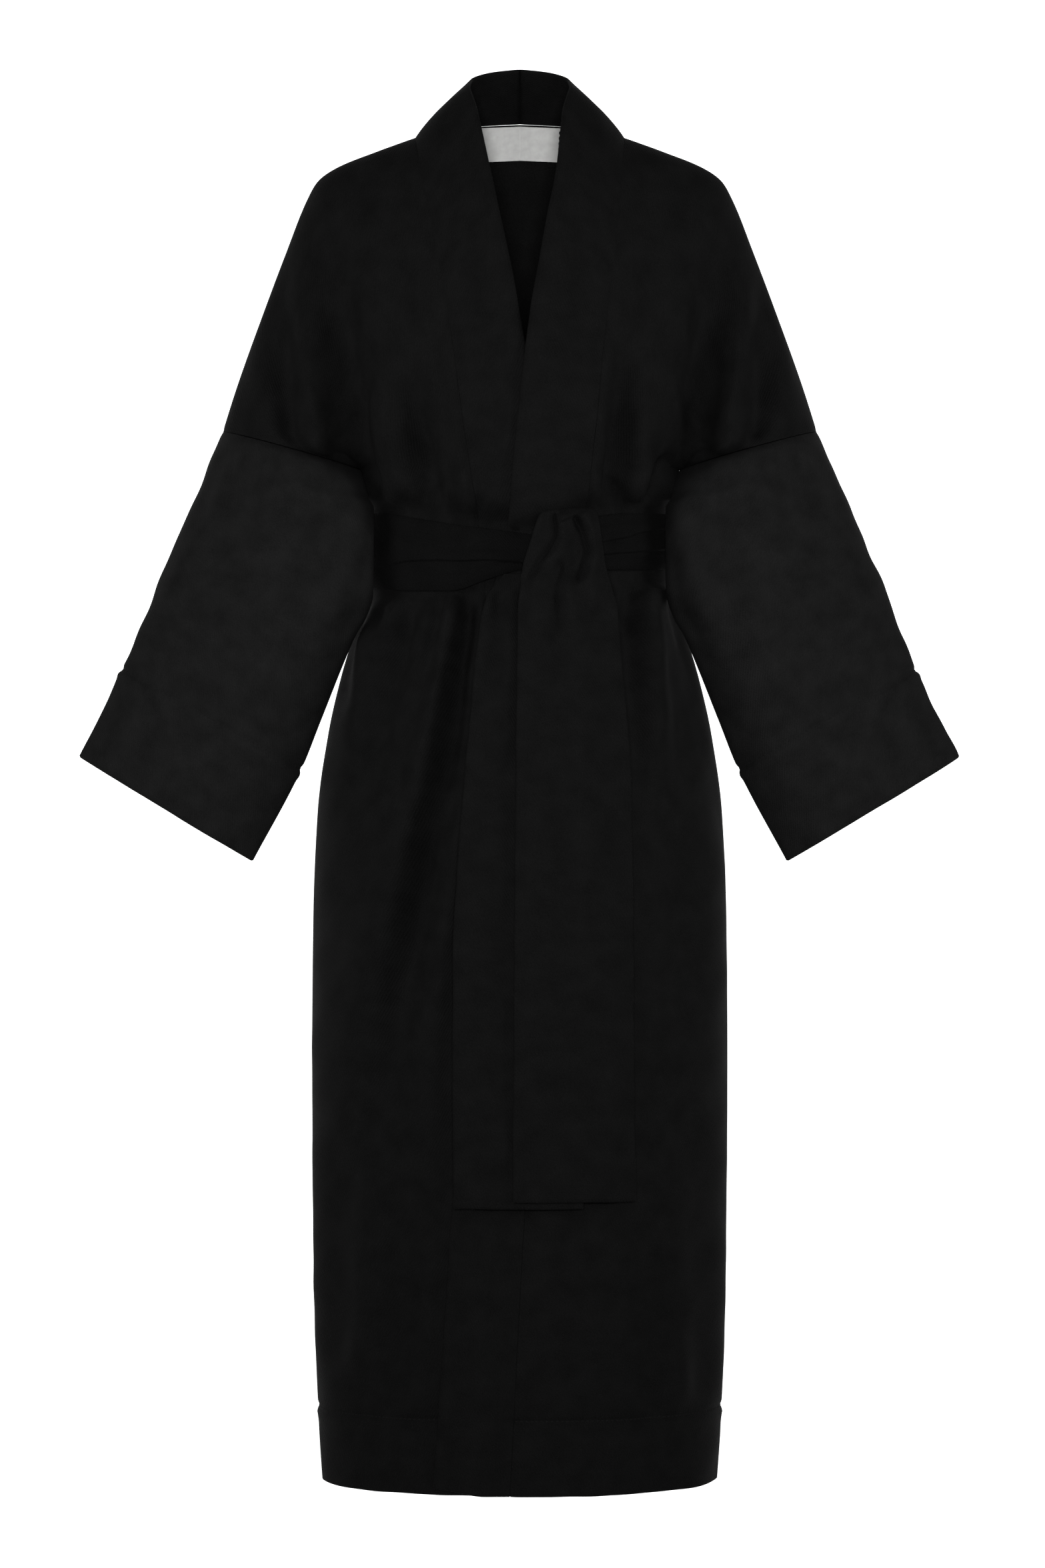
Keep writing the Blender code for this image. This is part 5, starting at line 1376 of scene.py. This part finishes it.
def close_shell(mesh):
    """Join the points that the lips share, drop faces of no size and turn all faces outwards."""
    shape = bmesh.new()
    shape.from_mesh(mesh)
    bmesh.ops.remove_doubles(shape, verts=shape.verts, dist=JOIN_DISTANCE)
    bmesh.ops.dissolve_degenerate(shape, dist=FLAT_DISTANCE, edges=shape.edges)
    bmesh.ops.recalc_face_normals(shape, faces=shape.faces)
    shape.to_mesh(mesh)
    shape.free()


def add_piece(name, mesh, material):
    """New smooth object that moves with the robe."""
    mesh.materials.append(material)
    mesh.shade_smooth()
    mesh.set_sharp_from_angle(angle=SHARP_ANGLE)
    piece = bpy.data.objects.new(name, mesh)
    bpy.context.scene.collection.objects.link(piece)
    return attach(piece, BODY)


def stitch_row(name, path, out, sewing, closed=False):
    """Row of separate stitches that lie on a line of the cloth."""
    if closed:
        path = np.concatenate((path, path[:1]))
        out = np.concatenate((out, out[:1]))
    reach = path_lengths(path)
    count = int(reach[-1] / sewing.stitch_pitch)
    starts = (np.arange(count) + 0.5) * reach[-1] / count
    points = []
    faces = []
    for start in starts:
        at = start + sewing.stitch_length * STITCH_PLACES
        line = np.stack([np.interp(at, reach, path[:, axis]) for axis in range(3)], axis=-1)
        up = unit(np.array([np.interp(start, reach, out[:, axis]) for axis in range(3)]))
        side = unit(np.cross(unit(line[-1] - line[0]), up))
        add_stitch(points, faces, line, up, side)
    mesh = bpy.data.meshes.new(name)
    mesh.from_pydata(points, [], faces)
    piece = add_piece(name, mesh, thread_material())
    return piece


def add_stitch(points, faces, line, up, side):
    """Plump stitch along four points, thin at its two ends where it dives into the cloth."""
    first = len(points)
    around = len(STITCH_CORNERS)
    last = first + around * (len(STITCH_SWELL) - 1)
    for place, size in zip(line, STITCH_SWELL):
        middle = place + up * STITCH_THICK * (size - STITCH_SINK)
        for across, rise in STITCH_CORNERS:
            offset = side * across * STITCH_WIDE * size + up * 0.5 * rise * STITCH_THICK * size
            points.append(tuple(middle + offset))
    for ring in range(first, last, around):
        for corner in range(around):
            a = ring + corner
            b = ring + (corner + 1) % around
            faces.append((a, b, b + around, a + around))
    faces.append(tuple(first + corner for corner in reversed(range(around))))
    faces.append(tuple(last + corner for corner in range(around)))


def node_tree(name):
    """New material with its node tree and its surface shader."""
    material = bpy.data.materials.new(name)
    material.use_nodes = True
    tree = material.node_tree
    return material, tree, tree.nodes["Principled BSDF"]


def noise(tree, place, scale, detail):
    """Noise texture on a place in the cloth."""
    texture = tree.nodes.new("ShaderNodeTexNoise")
    texture.inputs["Scale"].default_value = scale
    texture.inputs["Detail"].default_value = detail
    tree.links.new(place, texture.inputs["Vector"])
    return texture.outputs["Fac"]


def colour_between(tree, share, dark, light):
    """Colour ramp between two colours."""
    ramp = tree.nodes.new("ShaderNodeValToRGB")
    ramp.color_ramp.elements[0].position = COLOUR_LOW
    ramp.color_ramp.elements[0].color = (*dark, 1.0)
    ramp.color_ramp.elements[1].position = COLOUR_HIGH
    ramp.color_ramp.elements[1].color = (*light, 1.0)
    tree.links.new(share, ramp.inputs["Fac"])
    return ramp.outputs["Color"]


def bump(tree, height, depth, strength, below=None):
    """Bump node on a height, on top of another bump if one is given."""
    node = tree.nodes.new("ShaderNodeBump")
    node.inputs["Distance"].default_value = depth
    node.inputs["Strength"].default_value = strength
    tree.links.new(height, node.inputs["Height"])
    if below is not None:
        tree.links.new(below, node.inputs["Normal"])
    return node.outputs["Normal"]


def weave_place(tree):
    """Place across and along the cloth, in metres."""
    node = tree.nodes.new("ShaderNodeAttribute")
    node.attribute_name = WEAVE
    return node.outputs["Vector"]


def twill(tree, place, pitch):
    """Diagonal ribs of the weave, steeper than half a right angle."""
    mapping = tree.nodes.new("ShaderNodeMapping")
    mapping.inputs["Rotation"].default_value = (0.0, 0.0, TWILL_ANGLE)
    tree.links.new(place, mapping.inputs["Vector"])
    wave = tree.nodes.new("ShaderNodeTexWave")
    wave.bands_direction = "X"
    wave.inputs["Scale"].default_value = WAVE_PITCH / pitch
    wave.inputs["Distortion"].default_value = TWILL_WANDER
    wave.inputs["Detail"].default_value = TWILL_DETAIL
    wave.inputs["Detail Scale"].default_value = TWILL_DETAIL_SCALE
    tree.links.new(mapping.outputs["Vector"], wave.inputs["Vector"])
    return wave.outputs["Fac"]


def wool_material(cloth, name="napped_wool", painted_light=NO_PAINTED_LIGHT):
    """Black napped wool twill: soft diagonal ribs under a fine nap, with a faint sheen; a share of its colour
    paints light (above 1) and shade (below 1) into a copy.
    """
    found = bpy.data.materials.get(name)
    if found is not None:
        return found
    material, tree, surface = node_tree(name)
    place = weave_place(tree)
    # the share above 1 is painted light, below 1 painted shade
    dark = tuple(painted_light * WOOL_DARKEST * value for value in cloth.wool_colour)
    light = tuple(painted_light * WOOL_LIGHTEST * value for value in cloth.wool_colour)
    nap = noise(tree, place, cloth.nap_per_metre, NAP_DETAIL)
    mottle = noise(tree, place, MOTTLE_PER_METRE, MOTTLE_DETAIL)
    blended = tree.nodes.new("ShaderNodeMath")
    blended.operation = "MULTIPLY_ADD"
    blended.inputs[1].default_value = NAP_SHARE
    tree.links.new(nap, blended.inputs[0])
    half = tree.nodes.new("ShaderNodeMath")
    half.operation = "MULTIPLY"
    half.inputs[1].default_value = MOTTLE_SHARE
    tree.links.new(mottle, half.inputs[0])
    tree.links.new(half.outputs["Value"], blended.inputs[2])
    tree.links.new(colour_between(tree, blended.outputs["Value"], dark, light), surface.inputs["Base Color"])
    rough = tree.nodes.new("ShaderNodeMapRange")
    rough.inputs["To Min"].default_value = WOOL_ROUGHNESS[0]
    rough.inputs["To Max"].default_value = WOOL_ROUGHNESS[1]
    tree.links.new(mottle, rough.inputs["Value"])
    tree.links.new(rough.outputs["Result"], surface.inputs["Roughness"])
    ribs = bump(tree, twill(tree, place, cloth.twill_pitch), cloth.twill_depth, TWILL_STRENGTH)
    tree.links.new(bump(tree, nap, cloth.nap_depth, NAP_STRENGTH, ribs), surface.inputs["Normal"])
    surface.inputs["Specular IOR Level"].default_value = WOOL_GLOSS
    surface.inputs["Sheen Weight"].default_value = cloth.sheen
    surface.inputs["Sheen Roughness"].default_value = SHEEN_ROUGHNESS
    surface.inputs["Sheen Tint"].default_value = SHEEN_TINT
    return material


def thread_material():
    """Black matt sewing thread."""
    found = bpy.data.materials.get("sewing_thread")
    if found is not None:
        return found
    material, tree, surface = node_tree("sewing_thread")
    place = tree.nodes.new("ShaderNodeTexCoord").outputs["Object"]
    strand = noise(tree, place, THREAD_PER_METRE, THREAD_DETAIL)
    tree.links.new(colour_between(tree, strand, THREAD_DARK, THREAD_LIGHT), surface.inputs["Base Color"])
    tree.links.new(bump(tree, strand, THREAD_DEPTH, THREAD_STRENGTH), surface.inputs["Normal"])
    surface.inputs["Roughness"].default_value = THREAD_ROUGHNESS
    surface.inputs["Specular IOR Level"].default_value = THREAD_GLOSS
    return material


def satin_material(colour):
    """Bare woven satin of the neck label: fine ribs across it and a soft gloss."""
    material, tree, surface = node_tree("label_satin_weave")
    place = weave_place(tree)
    cloud = noise(tree, place, SATIN_CLOUDS_PER_METRE, SATIN_DETAIL)
    dark = tuple(SATIN_DARKEST * value for value in colour)
    tree.links.new(colour_between(tree, cloud, dark, colour), surface.inputs["Base Color"])
    wave = tree.nodes.new("ShaderNodeTexWave")
    wave.bands_direction = "Y"
    wave.inputs["Scale"].default_value = WAVE_PITCH / SATIN_PITCH
    wave.inputs["Distortion"].default_value = SATIN_WANDER
    tree.links.new(place, wave.inputs["Vector"])
    tree.links.new(bump(tree, wave.outputs["Fac"], SATIN_DEPTH, SATIN_STRENGTH), surface.inputs["Normal"])
    surface.inputs["Roughness"].default_value = SATIN_ROUGHNESS
    surface.inputs["Sheen Weight"].default_value = SATIN_SHEEN
    return material


def finish_cloth(nodes):
    """Hide the solids that a cloth piece stands for."""
    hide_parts(*nodes)


def hem_row(body_rows):
    """Row number of the stitched hem line in a panel's grid."""
    return YOKE_ROWS + int(np.argmin(np.abs(body_rows - HEM_LINE_Z)))


def hem_thickness(body_rows):
    """Thickness of a panel's rows: double in the turned hem."""
    z = np.concatenate((np.zeros(YOKE_ROWS), body_rows))[:, None, None]
    return blend(CLOTH, DOUBLE, smoothstep(-z, -HEM_LINE_Z - HEM_TURN, -HEM_LINE_Z + HEM_TURN))


def back_grid(crease):
    """Back panel's grid, normals and column places, with its seams drawn back."""
    share = back_shares(BACK_NECK_COLUMNS, BACK_ARM_COLUMNS)
    cloth, out = back_cloth(crease, share, np.linspace(0.0, 1.0, YOKE_ROWS), fine_body_rows())
    shoulder = np.abs(share) >= BACK_NECK_SHARE
    cloth[0] += 0.5 * NECK_SEAM * unit(cloth[1] - cloth[0])
    cloth[0, shoulder, 1] = 0.5 * SEAM
    cloth[YOKE_ROWS - 1:, 0, 1] = 0.5 * SEAM
    cloth[YOKE_ROWS - 1:, -1, 1] = 0.5 * SEAM
    neck_out = neck_normals(out[0])
    middle = len(share) // 2
    out[0, middle:middle + len(neck_out)] = neck_out
    out[0, middle - len(neck_out) + 1:middle + 1] = neck_out[::-1] * (-1, 1, 1)
    return cloth, out, neck_out


class RobeCloth(bpy.types.PropertyGroup):
    """Finishes of the robe's cloth."""

    wool_colour: bpy.props.FloatVectorProperty(
        name="Wool colour", description="Middle colour of the wool twill",
        subtype="COLOR", size=3, min=0.0, max=1.0, default=(0.0021, 0.0021, 0.0021))
    sheen: bpy.props.FloatProperty(
        name="Sheen", description="Strength of the nap's soft sheen",
        subtype="FACTOR", min=0.0, max=1.0, default=0.0025)
    twill_pitch: bpy.props.FloatProperty(
        name="Twill pitch", description="Distance between the weave's diagonal ribs",
        unit="LENGTH", min=0.0005, max=0.01, default=0.0022)
    twill_depth: bpy.props.FloatProperty(
        name="Twill depth", description="Height of the weave's diagonal ribs",
        unit="LENGTH", min=0.0, max=0.002, default=0.00028)
    nap_per_metre: bpy.props.FloatProperty(
        name="Nap", description="Tufts of the nap for each metre",
        min=100.0, max=4000.0, default=900.0)
    nap_depth: bpy.props.FloatProperty(
        name="Nap depth", description="Height of the nap",
        unit="LENGTH", min=0.0, max=0.002, default=0.0008)
    # The label's colour is set well below white satin's own: painted shade from its place inside the back
    # neck.
    label_shaded_colour: bpy.props.FloatVectorProperty(
        name="Label colour", description="Colour of the bare satin label",
        subtype="COLOR", size=3, min=0.0, max=1.0, default=(0.33, 0.33, 0.322))


class RobeSewing(bpy.types.PropertyGroup):
    """Folds and stitches of the robe."""

    crease: bpy.props.FloatProperty(
        name="Creases", description="Depth of every fold and crease, as a share of its own",
        subtype="FACTOR", min=0.0, max=1.2, default=1.0)
    stitch_length: bpy.props.FloatProperty(
        name="Stitch length", description="Length of one stitch of the hem and cuff lines",
        unit="LENGTH", min=0.001, max=0.02, default=0.0034)
    stitch_pitch: bpy.props.FloatProperty(
        name="Stitch pitch", description="Distance from one stitch to the next",
        unit="LENGTH", min=0.002, max=0.03, default=0.0046)


class RobeStudio(bpy.types.PropertyGroup):
    """Floor, light and camera."""

    floor_colour: bpy.props.FloatVectorProperty(
        name="Floor colour", description="Colour of the floor and the wall behind",
        subtype="COLOR", size=3, min=0.0, max=1.0, default=(0.85, 0.85, 0.85))
    floor_drop: bpy.props.FloatProperty(
        name="Floor drop", description="How far the floor lies below the hem",
        unit="LENGTH", min=0.0, max=2.0, default=0.22)
    room_light: bpy.props.FloatProperty(
        name="Room light", description="Strength of the even light from all round",
        min=0.0, max=5.0, default=0.22)
    side_light: bpy.props.FloatProperty(
        name="Side light", description="Power of each large soft lamp at the sides",
        unit="POWER", min=0.0, max=2000.0, default=6.0)
    front_light: bpy.props.FloatProperty(
        name="Front light", description="Power of the soft lamp in front, a little above the camera's height",
        unit="POWER", min=0.0, max=2000.0, default=21.0)
    camera_distance: bpy.props.FloatProperty(
        name="Camera distance", description="Distance of the level camera from the shoulder line",
        unit="LENGTH", min=1.0, max=20.0, default=5.0)
    view_height: bpy.props.FloatProperty(
        name="View height", description="Height of the picture at the shoulder line's distance",
        unit="LENGTH", min=0.5, max=5.0, default=1.4535)


class ROBE_OT_back(bpy.types.Operator):
    """Back panel in one piece, with its stitched hem"""

    bl_idname = "robe.back"
    bl_label = "Back"

    def execute(self, context):
        scene = context.scene
        wool = wool_material(scene.robe_cloth)
        body_rows = fine_body_rows()
        cloth, out, _ = back_grid(scene.robe_sewing.crease)
        back = shell("wool_back", cloth, out, hem_thickness(body_rows), wool, soft_edges=("bottom",))
        row = hem_row(body_rows)
        stitches = stitch_row("hem_stitches_back", cloth[row], out[row], scene.robe_sewing)
        finish_cloth(["back"])
        return {"FINISHED"}


class ROBE_OT_fronts(bpy.types.Operator):
    """Two front panels with their halves of the neckband; the wearer's left laps over the right"""

    bl_idname = "robe.fronts"
    bl_label = "Fronts and neckband"

    def execute(self, context):
        scene = context.scene
        wool = wool_material(scene.robe_cloth)
        crease = scene.robe_sewing.crease
        neck_out = back_grid(crease)[2]
        body_rows = fine_body_rows()
        row = hem_row(body_rows)
        for side, word in ((-1, "right"), (1, "left")):
            cloth, out = front_cloth(side, crease, np.linspace(0.0, 1.0, YOKE_ROWS), body_rows)
            panel = part_at_seam(cloth[:, BAND_COLUMNS:], 0, 1)
            panel[0, :, 1] = -0.5 * SEAM
            panel[YOKE_ROWS - 1:, -1, 1] = -0.5 * SEAM
            panel_out = out[:, BAND_COLUMNS:]
            front = shell("wool_front_" + word, panel, panel_out, hem_thickness(body_rows), wool,
                          soft_edges=("bottom",))
            stitches = stitch_row("hem_stitches_" + word, panel[row], panel_out[row], scene.robe_sewing)
            finish_cloth(["front_" + word])
            edge = slice(0, BAND_COLUMNS + 1)
            band, band_out, groove = whole_band(side, cloth[:, edge], out[:, edge], neck_out * (side, 1, 1))
            strip = shell("wool_band_" + word, band, band_out, groove, wool, soft_edges=("first", "bottom"))
            finish_cloth(["band_" + word])
        return {"FINISHED"}


class ROBE_OT_sleeves(bpy.types.Operator):
    """Two wide sleeves with deep stitched cuffs"""

    bl_idname = "robe.sleeves"
    bl_label = "Sleeves"

    def execute(self, context):
        scene = context.scene
        # The sleeves' copy of the wool is lightened with painted light.
        wool = wool_material(scene.robe_cloth, "napped_wool_sleeves", SLEEVE_PAINTED_LIGHT)
        stations = sleeve_stations()
        row = int(np.argmin(np.abs(stations - CUFF_STATION)))
        into_cuff = smoothstep(stations, CUFF_STATION - CUFF_TURN, CUFF_STATION + CUFF_TURN)
        thickness = blend(CLOTH, DOUBLE, into_cuff[:, None, None])
        for side, word in ((-1, "right"), (1, "left")):
            cloth, out = sleeve_cloth(side, scene.robe_sewing.crease, stations)
            sleeve = shell("wool_sleeve_" + word, cloth, out, thickness, wool,
                           ring=True, soft_edges=("bottom",))
            stitches = stitch_row("cuff_stitches_" + word, cloth[row], out[row], scene.robe_sewing,
                                  closed=True)
            finish_cloth(["sleeve_" + word])
        return {"FINISHED"}


class ROBE_OT_sash(bpy.types.Operator):
    """Sash round the waist, and its two tails below the knot"""

    bl_idname = "robe.sash"
    bl_label = "Sash"

    def execute(self, context):
        scene = context.scene
        wool = wool_material(scene.robe_cloth)
        crease = scene.robe_sewing.crease
        cloth, out = sash_cloth(crease)
        # The sash's copy of the wool is darkened with painted shade.
        painted_shade_wool = wool_material(scene.robe_cloth, "napped_wool_sash", SASH_PAINTED_SHADE)
        belt = shell("wool_sash", cloth, out, DOUBLE, painted_shade_wool, soft_edges=("top", "bottom"))
        finish_cloth(["belt_right", "belt_left", "belt_back"])
        tails = (
            ("tail_over", TAIL_OVER, KNOT_PLEAT_SHARE * KNOT_PLEAT_DEPTH, KNOT_CREASES, CUT_TAIL_OVER),
            ("tail_under", TAIL_UNDER, 0.0, UNDER_TAIL_CREASES, CUT_TAIL_UNDER),
        )
        for node, table, pleat, folds, cut in tails:
            cloth, out = tail_cloth(table, pleat, folds, crease)
            tail = shell("wool_" + node, cloth, out, DOUBLE, wool,
                         soft_edges=("top", "bottom", "first", "last"))
            finish_cloth([node])
        return {"FINISHED"}


class ROBE_OT_label(bpy.types.Operator):
    """Bare satin label inside the back neck"""

    bl_idname = "robe.label"
    bl_label = "Label"

    def execute(self, context):
        # the label's colour already holds its painted shade
        satin = satin_material(tuple(context.scene.robe_cloth.label_shaded_colour))
        cloth, out = label_cloth(LABEL_COLUMNS, LABEL_ROWS)
        label = shell("satin_label", cloth, out, LABEL_CLOTH, satin,
                      soft_edges=("top", "bottom", "first", "last"))
        inner = cloth - out * LABEL_CLOTH
        ends = [stitch_row("label_stitches_" + word, inner[1:-1, column], -out[1:-1, column],
                           context.scene.robe_sewing)
                for word, column in (("right", 1), ("left", -2))]
        finish_cloth(["neck_label"])
        return {"FINISHED"}


class ROBE_OT_studio(bpy.types.Operator):
    """Pale floor that curves up into the wall behind, soft lamps and the level camera"""

    bl_idname = "robe.studio"
    bl_label = "Studio"

    def execute(self, context):
        studio = context.scene.robe_studio
        add_floor(studio)
        add_room_light(context.scene, studio.room_light)
        for lamp in LAMPS:
            power = studio.front_light if lamp.name == "front_lamp" else studio.side_light
            add_lamp(lamp, power)
        add_camera(context.scene, studio)
        context.scene.view_settings.view_transform = "Standard"
        return {"FINISHED"}


def add_floor(studio):
    """Seamless sheet: flat under the robe, a quarter round, then a wall."""
    floor_z = HEM_Z - studio.floor_drop
    turn = np.linspace(0.0, 0.5 * np.pi, BEND_STEPS)
    bend_y = FLOOR_BACK + FLOOR_BEND * np.sin(turn)
    bend_z = floor_z + FLOOR_BEND * (1.0 - np.cos(turn))
    y = np.concatenate(([-FLOOR_FRONT, GLOW_START], bend_y, [FLOOR_BACK + FLOOR_BEND]))
    z = np.concatenate(([floor_z, floor_z], bend_z, [floor_z + WALL_HEIGHT]))
    x = np.array((-FLOOR_HALF_WIDTH, FLOOR_HALF_WIDTH))
    sheet = stack(x[None, :], y[:, None], z[:, None])
    index = np.arange(2 * len(y)).reshape(len(y), 2)
    mesh = bpy.data.meshes.new("studio_floor")
    mesh.from_pydata(sheet.reshape(-1, 3).tolist(), [], grid_faces(index).tolist())
    mesh.shade_smooth()
    colour = tuple(studio.floor_colour)
    mesh.materials.append(floor_material("studio_paper", colour, 0.0))
    mesh.materials.append(floor_material("studio_lit_paper", colour, PAPER_GLOW))
    behind = np.arange(len(mesh.polygons)) > 0
    mesh.polygons.foreach_set("material_index", behind.astype(np.int32))
    floor = bpy.data.objects.new("studio_floor", mesh)
    bpy.context.scene.collection.objects.link(floor)


def floor_material(name, colour, glow):
    """Pale matt paper, lit through by the given glow."""
    material, tree, surface = node_tree(name)
    place = tree.nodes.new("ShaderNodeTexCoord").outputs["Object"]
    grain = noise(tree, place, PAPER_GRAIN_PER_METRE, PAPER_DETAIL)
    dark = tuple(PAPER_DARKEST * value for value in colour)
    tree.links.new(colour_between(tree, grain, dark, colour), surface.inputs["Base Color"])
    surface.inputs["Roughness"].default_value = PAPER_ROUGHNESS
    surface.inputs["Specular IOR Level"].default_value = PAPER_GLOSS
    surface.inputs["Emission Color"].default_value = WHITE
    surface.inputs["Emission Strength"].default_value = glow
    return material


def add_room_light(scene, strength):
    """Even white light from all round."""
    world = bpy.data.worlds.new("studio_room")
    world.use_nodes = True
    back = world.node_tree.nodes["Background"]
    back.inputs["Color"].default_value = WHITE
    back.inputs["Strength"].default_value = strength
    scene.world = world


def add_lamp(lamp, power):
    """Soft lamp that faces the robe."""
    light = bpy.data.lights.new(lamp.name, "AREA")
    light.shape = "RECTANGLE"
    light.size = lamp.wide
    light.size_y = lamp.high
    light.energy = power
    light.spread = LAMP_SPREAD
    source = bpy.data.objects.new(lamp.name, light)
    source.location = (lamp.x, lamp.y, lamp.z)
    aim = Vector((0.0, 0.0, lamp.aim_z)) - source.location
    source.rotation_euler = aim.to_track_quat("-Z", "Y").to_euler()
    bpy.context.scene.collection.objects.link(source)


def add_camera(scene, studio):
    """Level camera in front of the robe, with the photograph's upright frame."""
    camera = bpy.data.cameras.new("studio_camera")
    camera.sensor_fit = "VERTICAL"
    camera.sensor_height = SENSOR_HEIGHT
    camera.lens = SENSOR_HEIGHT * studio.camera_distance / studio.view_height
    camera.clip_end = SIGHT
    holder = bpy.data.objects.new("studio_camera", camera)
    holder.location = (CAMERA_X, -studio.camera_distance, CAMERA_Z)
    holder.rotation_euler = (0.5 * math.pi, 0.0, 0.0)
    scene.collection.objects.link(holder)
    scene.camera = holder


class ROBE_PT_panel(bpy.types.Panel):
    """Sizes, finishes and steps of the robe"""

    bl_idname = "ROBE_PT_panel"
    bl_label = "Wool Wrap Robe"
    bl_space_type = "VIEW_3D"
    bl_region_type = "UI"
    bl_category = "Robe"

    def draw(self, context):
        scene = context.scene
        for group in (scene.robe_cloth, scene.robe_sewing, scene.robe_studio):
            box = self.layout.box()
            for name in group.__annotations__:
                box.prop(group, name)
        for operator in OPERATORS:
            self.layout.operator(operator.bl_idname)


GROUPS = (RobeCloth, RobeSewing, RobeStudio)
OPERATORS = (ROBE_OT_back, ROBE_OT_fronts, ROBE_OT_sleeves, ROBE_OT_sash, ROBE_OT_label, ROBE_OT_studio)


def register():
    """Add the settings, steps and panel to Blender."""
    for item in GROUPS + OPERATORS + (ROBE_PT_panel,):
        bpy.utils.register_class(item)
    bpy.types.Scene.robe_cloth = bpy.props.PointerProperty(type=RobeCloth)
    bpy.types.Scene.robe_sewing = bpy.props.PointerProperty(type=RobeSewing)
    bpy.types.Scene.robe_studio = bpy.props.PointerProperty(type=RobeStudio)


def unregister():
    """Take the settings, steps and panel out of Blender."""
    del bpy.types.Scene.robe_cloth
    del bpy.types.Scene.robe_sewing
    del bpy.types.Scene.robe_studio
    for item in reversed(GROUPS + OPERATORS + (ROBE_PT_panel,)):
        bpy.utils.unregister_class(item)


def main():
    """Make every piece in order."""
    register()
    bpy.ops.robe.back()
    bpy.ops.robe.fronts()
    bpy.ops.robe.sleeves()
    bpy.ops.robe.sash()
    bpy.ops.robe.label()
    bpy.ops.robe.studio()


if __name__ == "__main__":
    main()
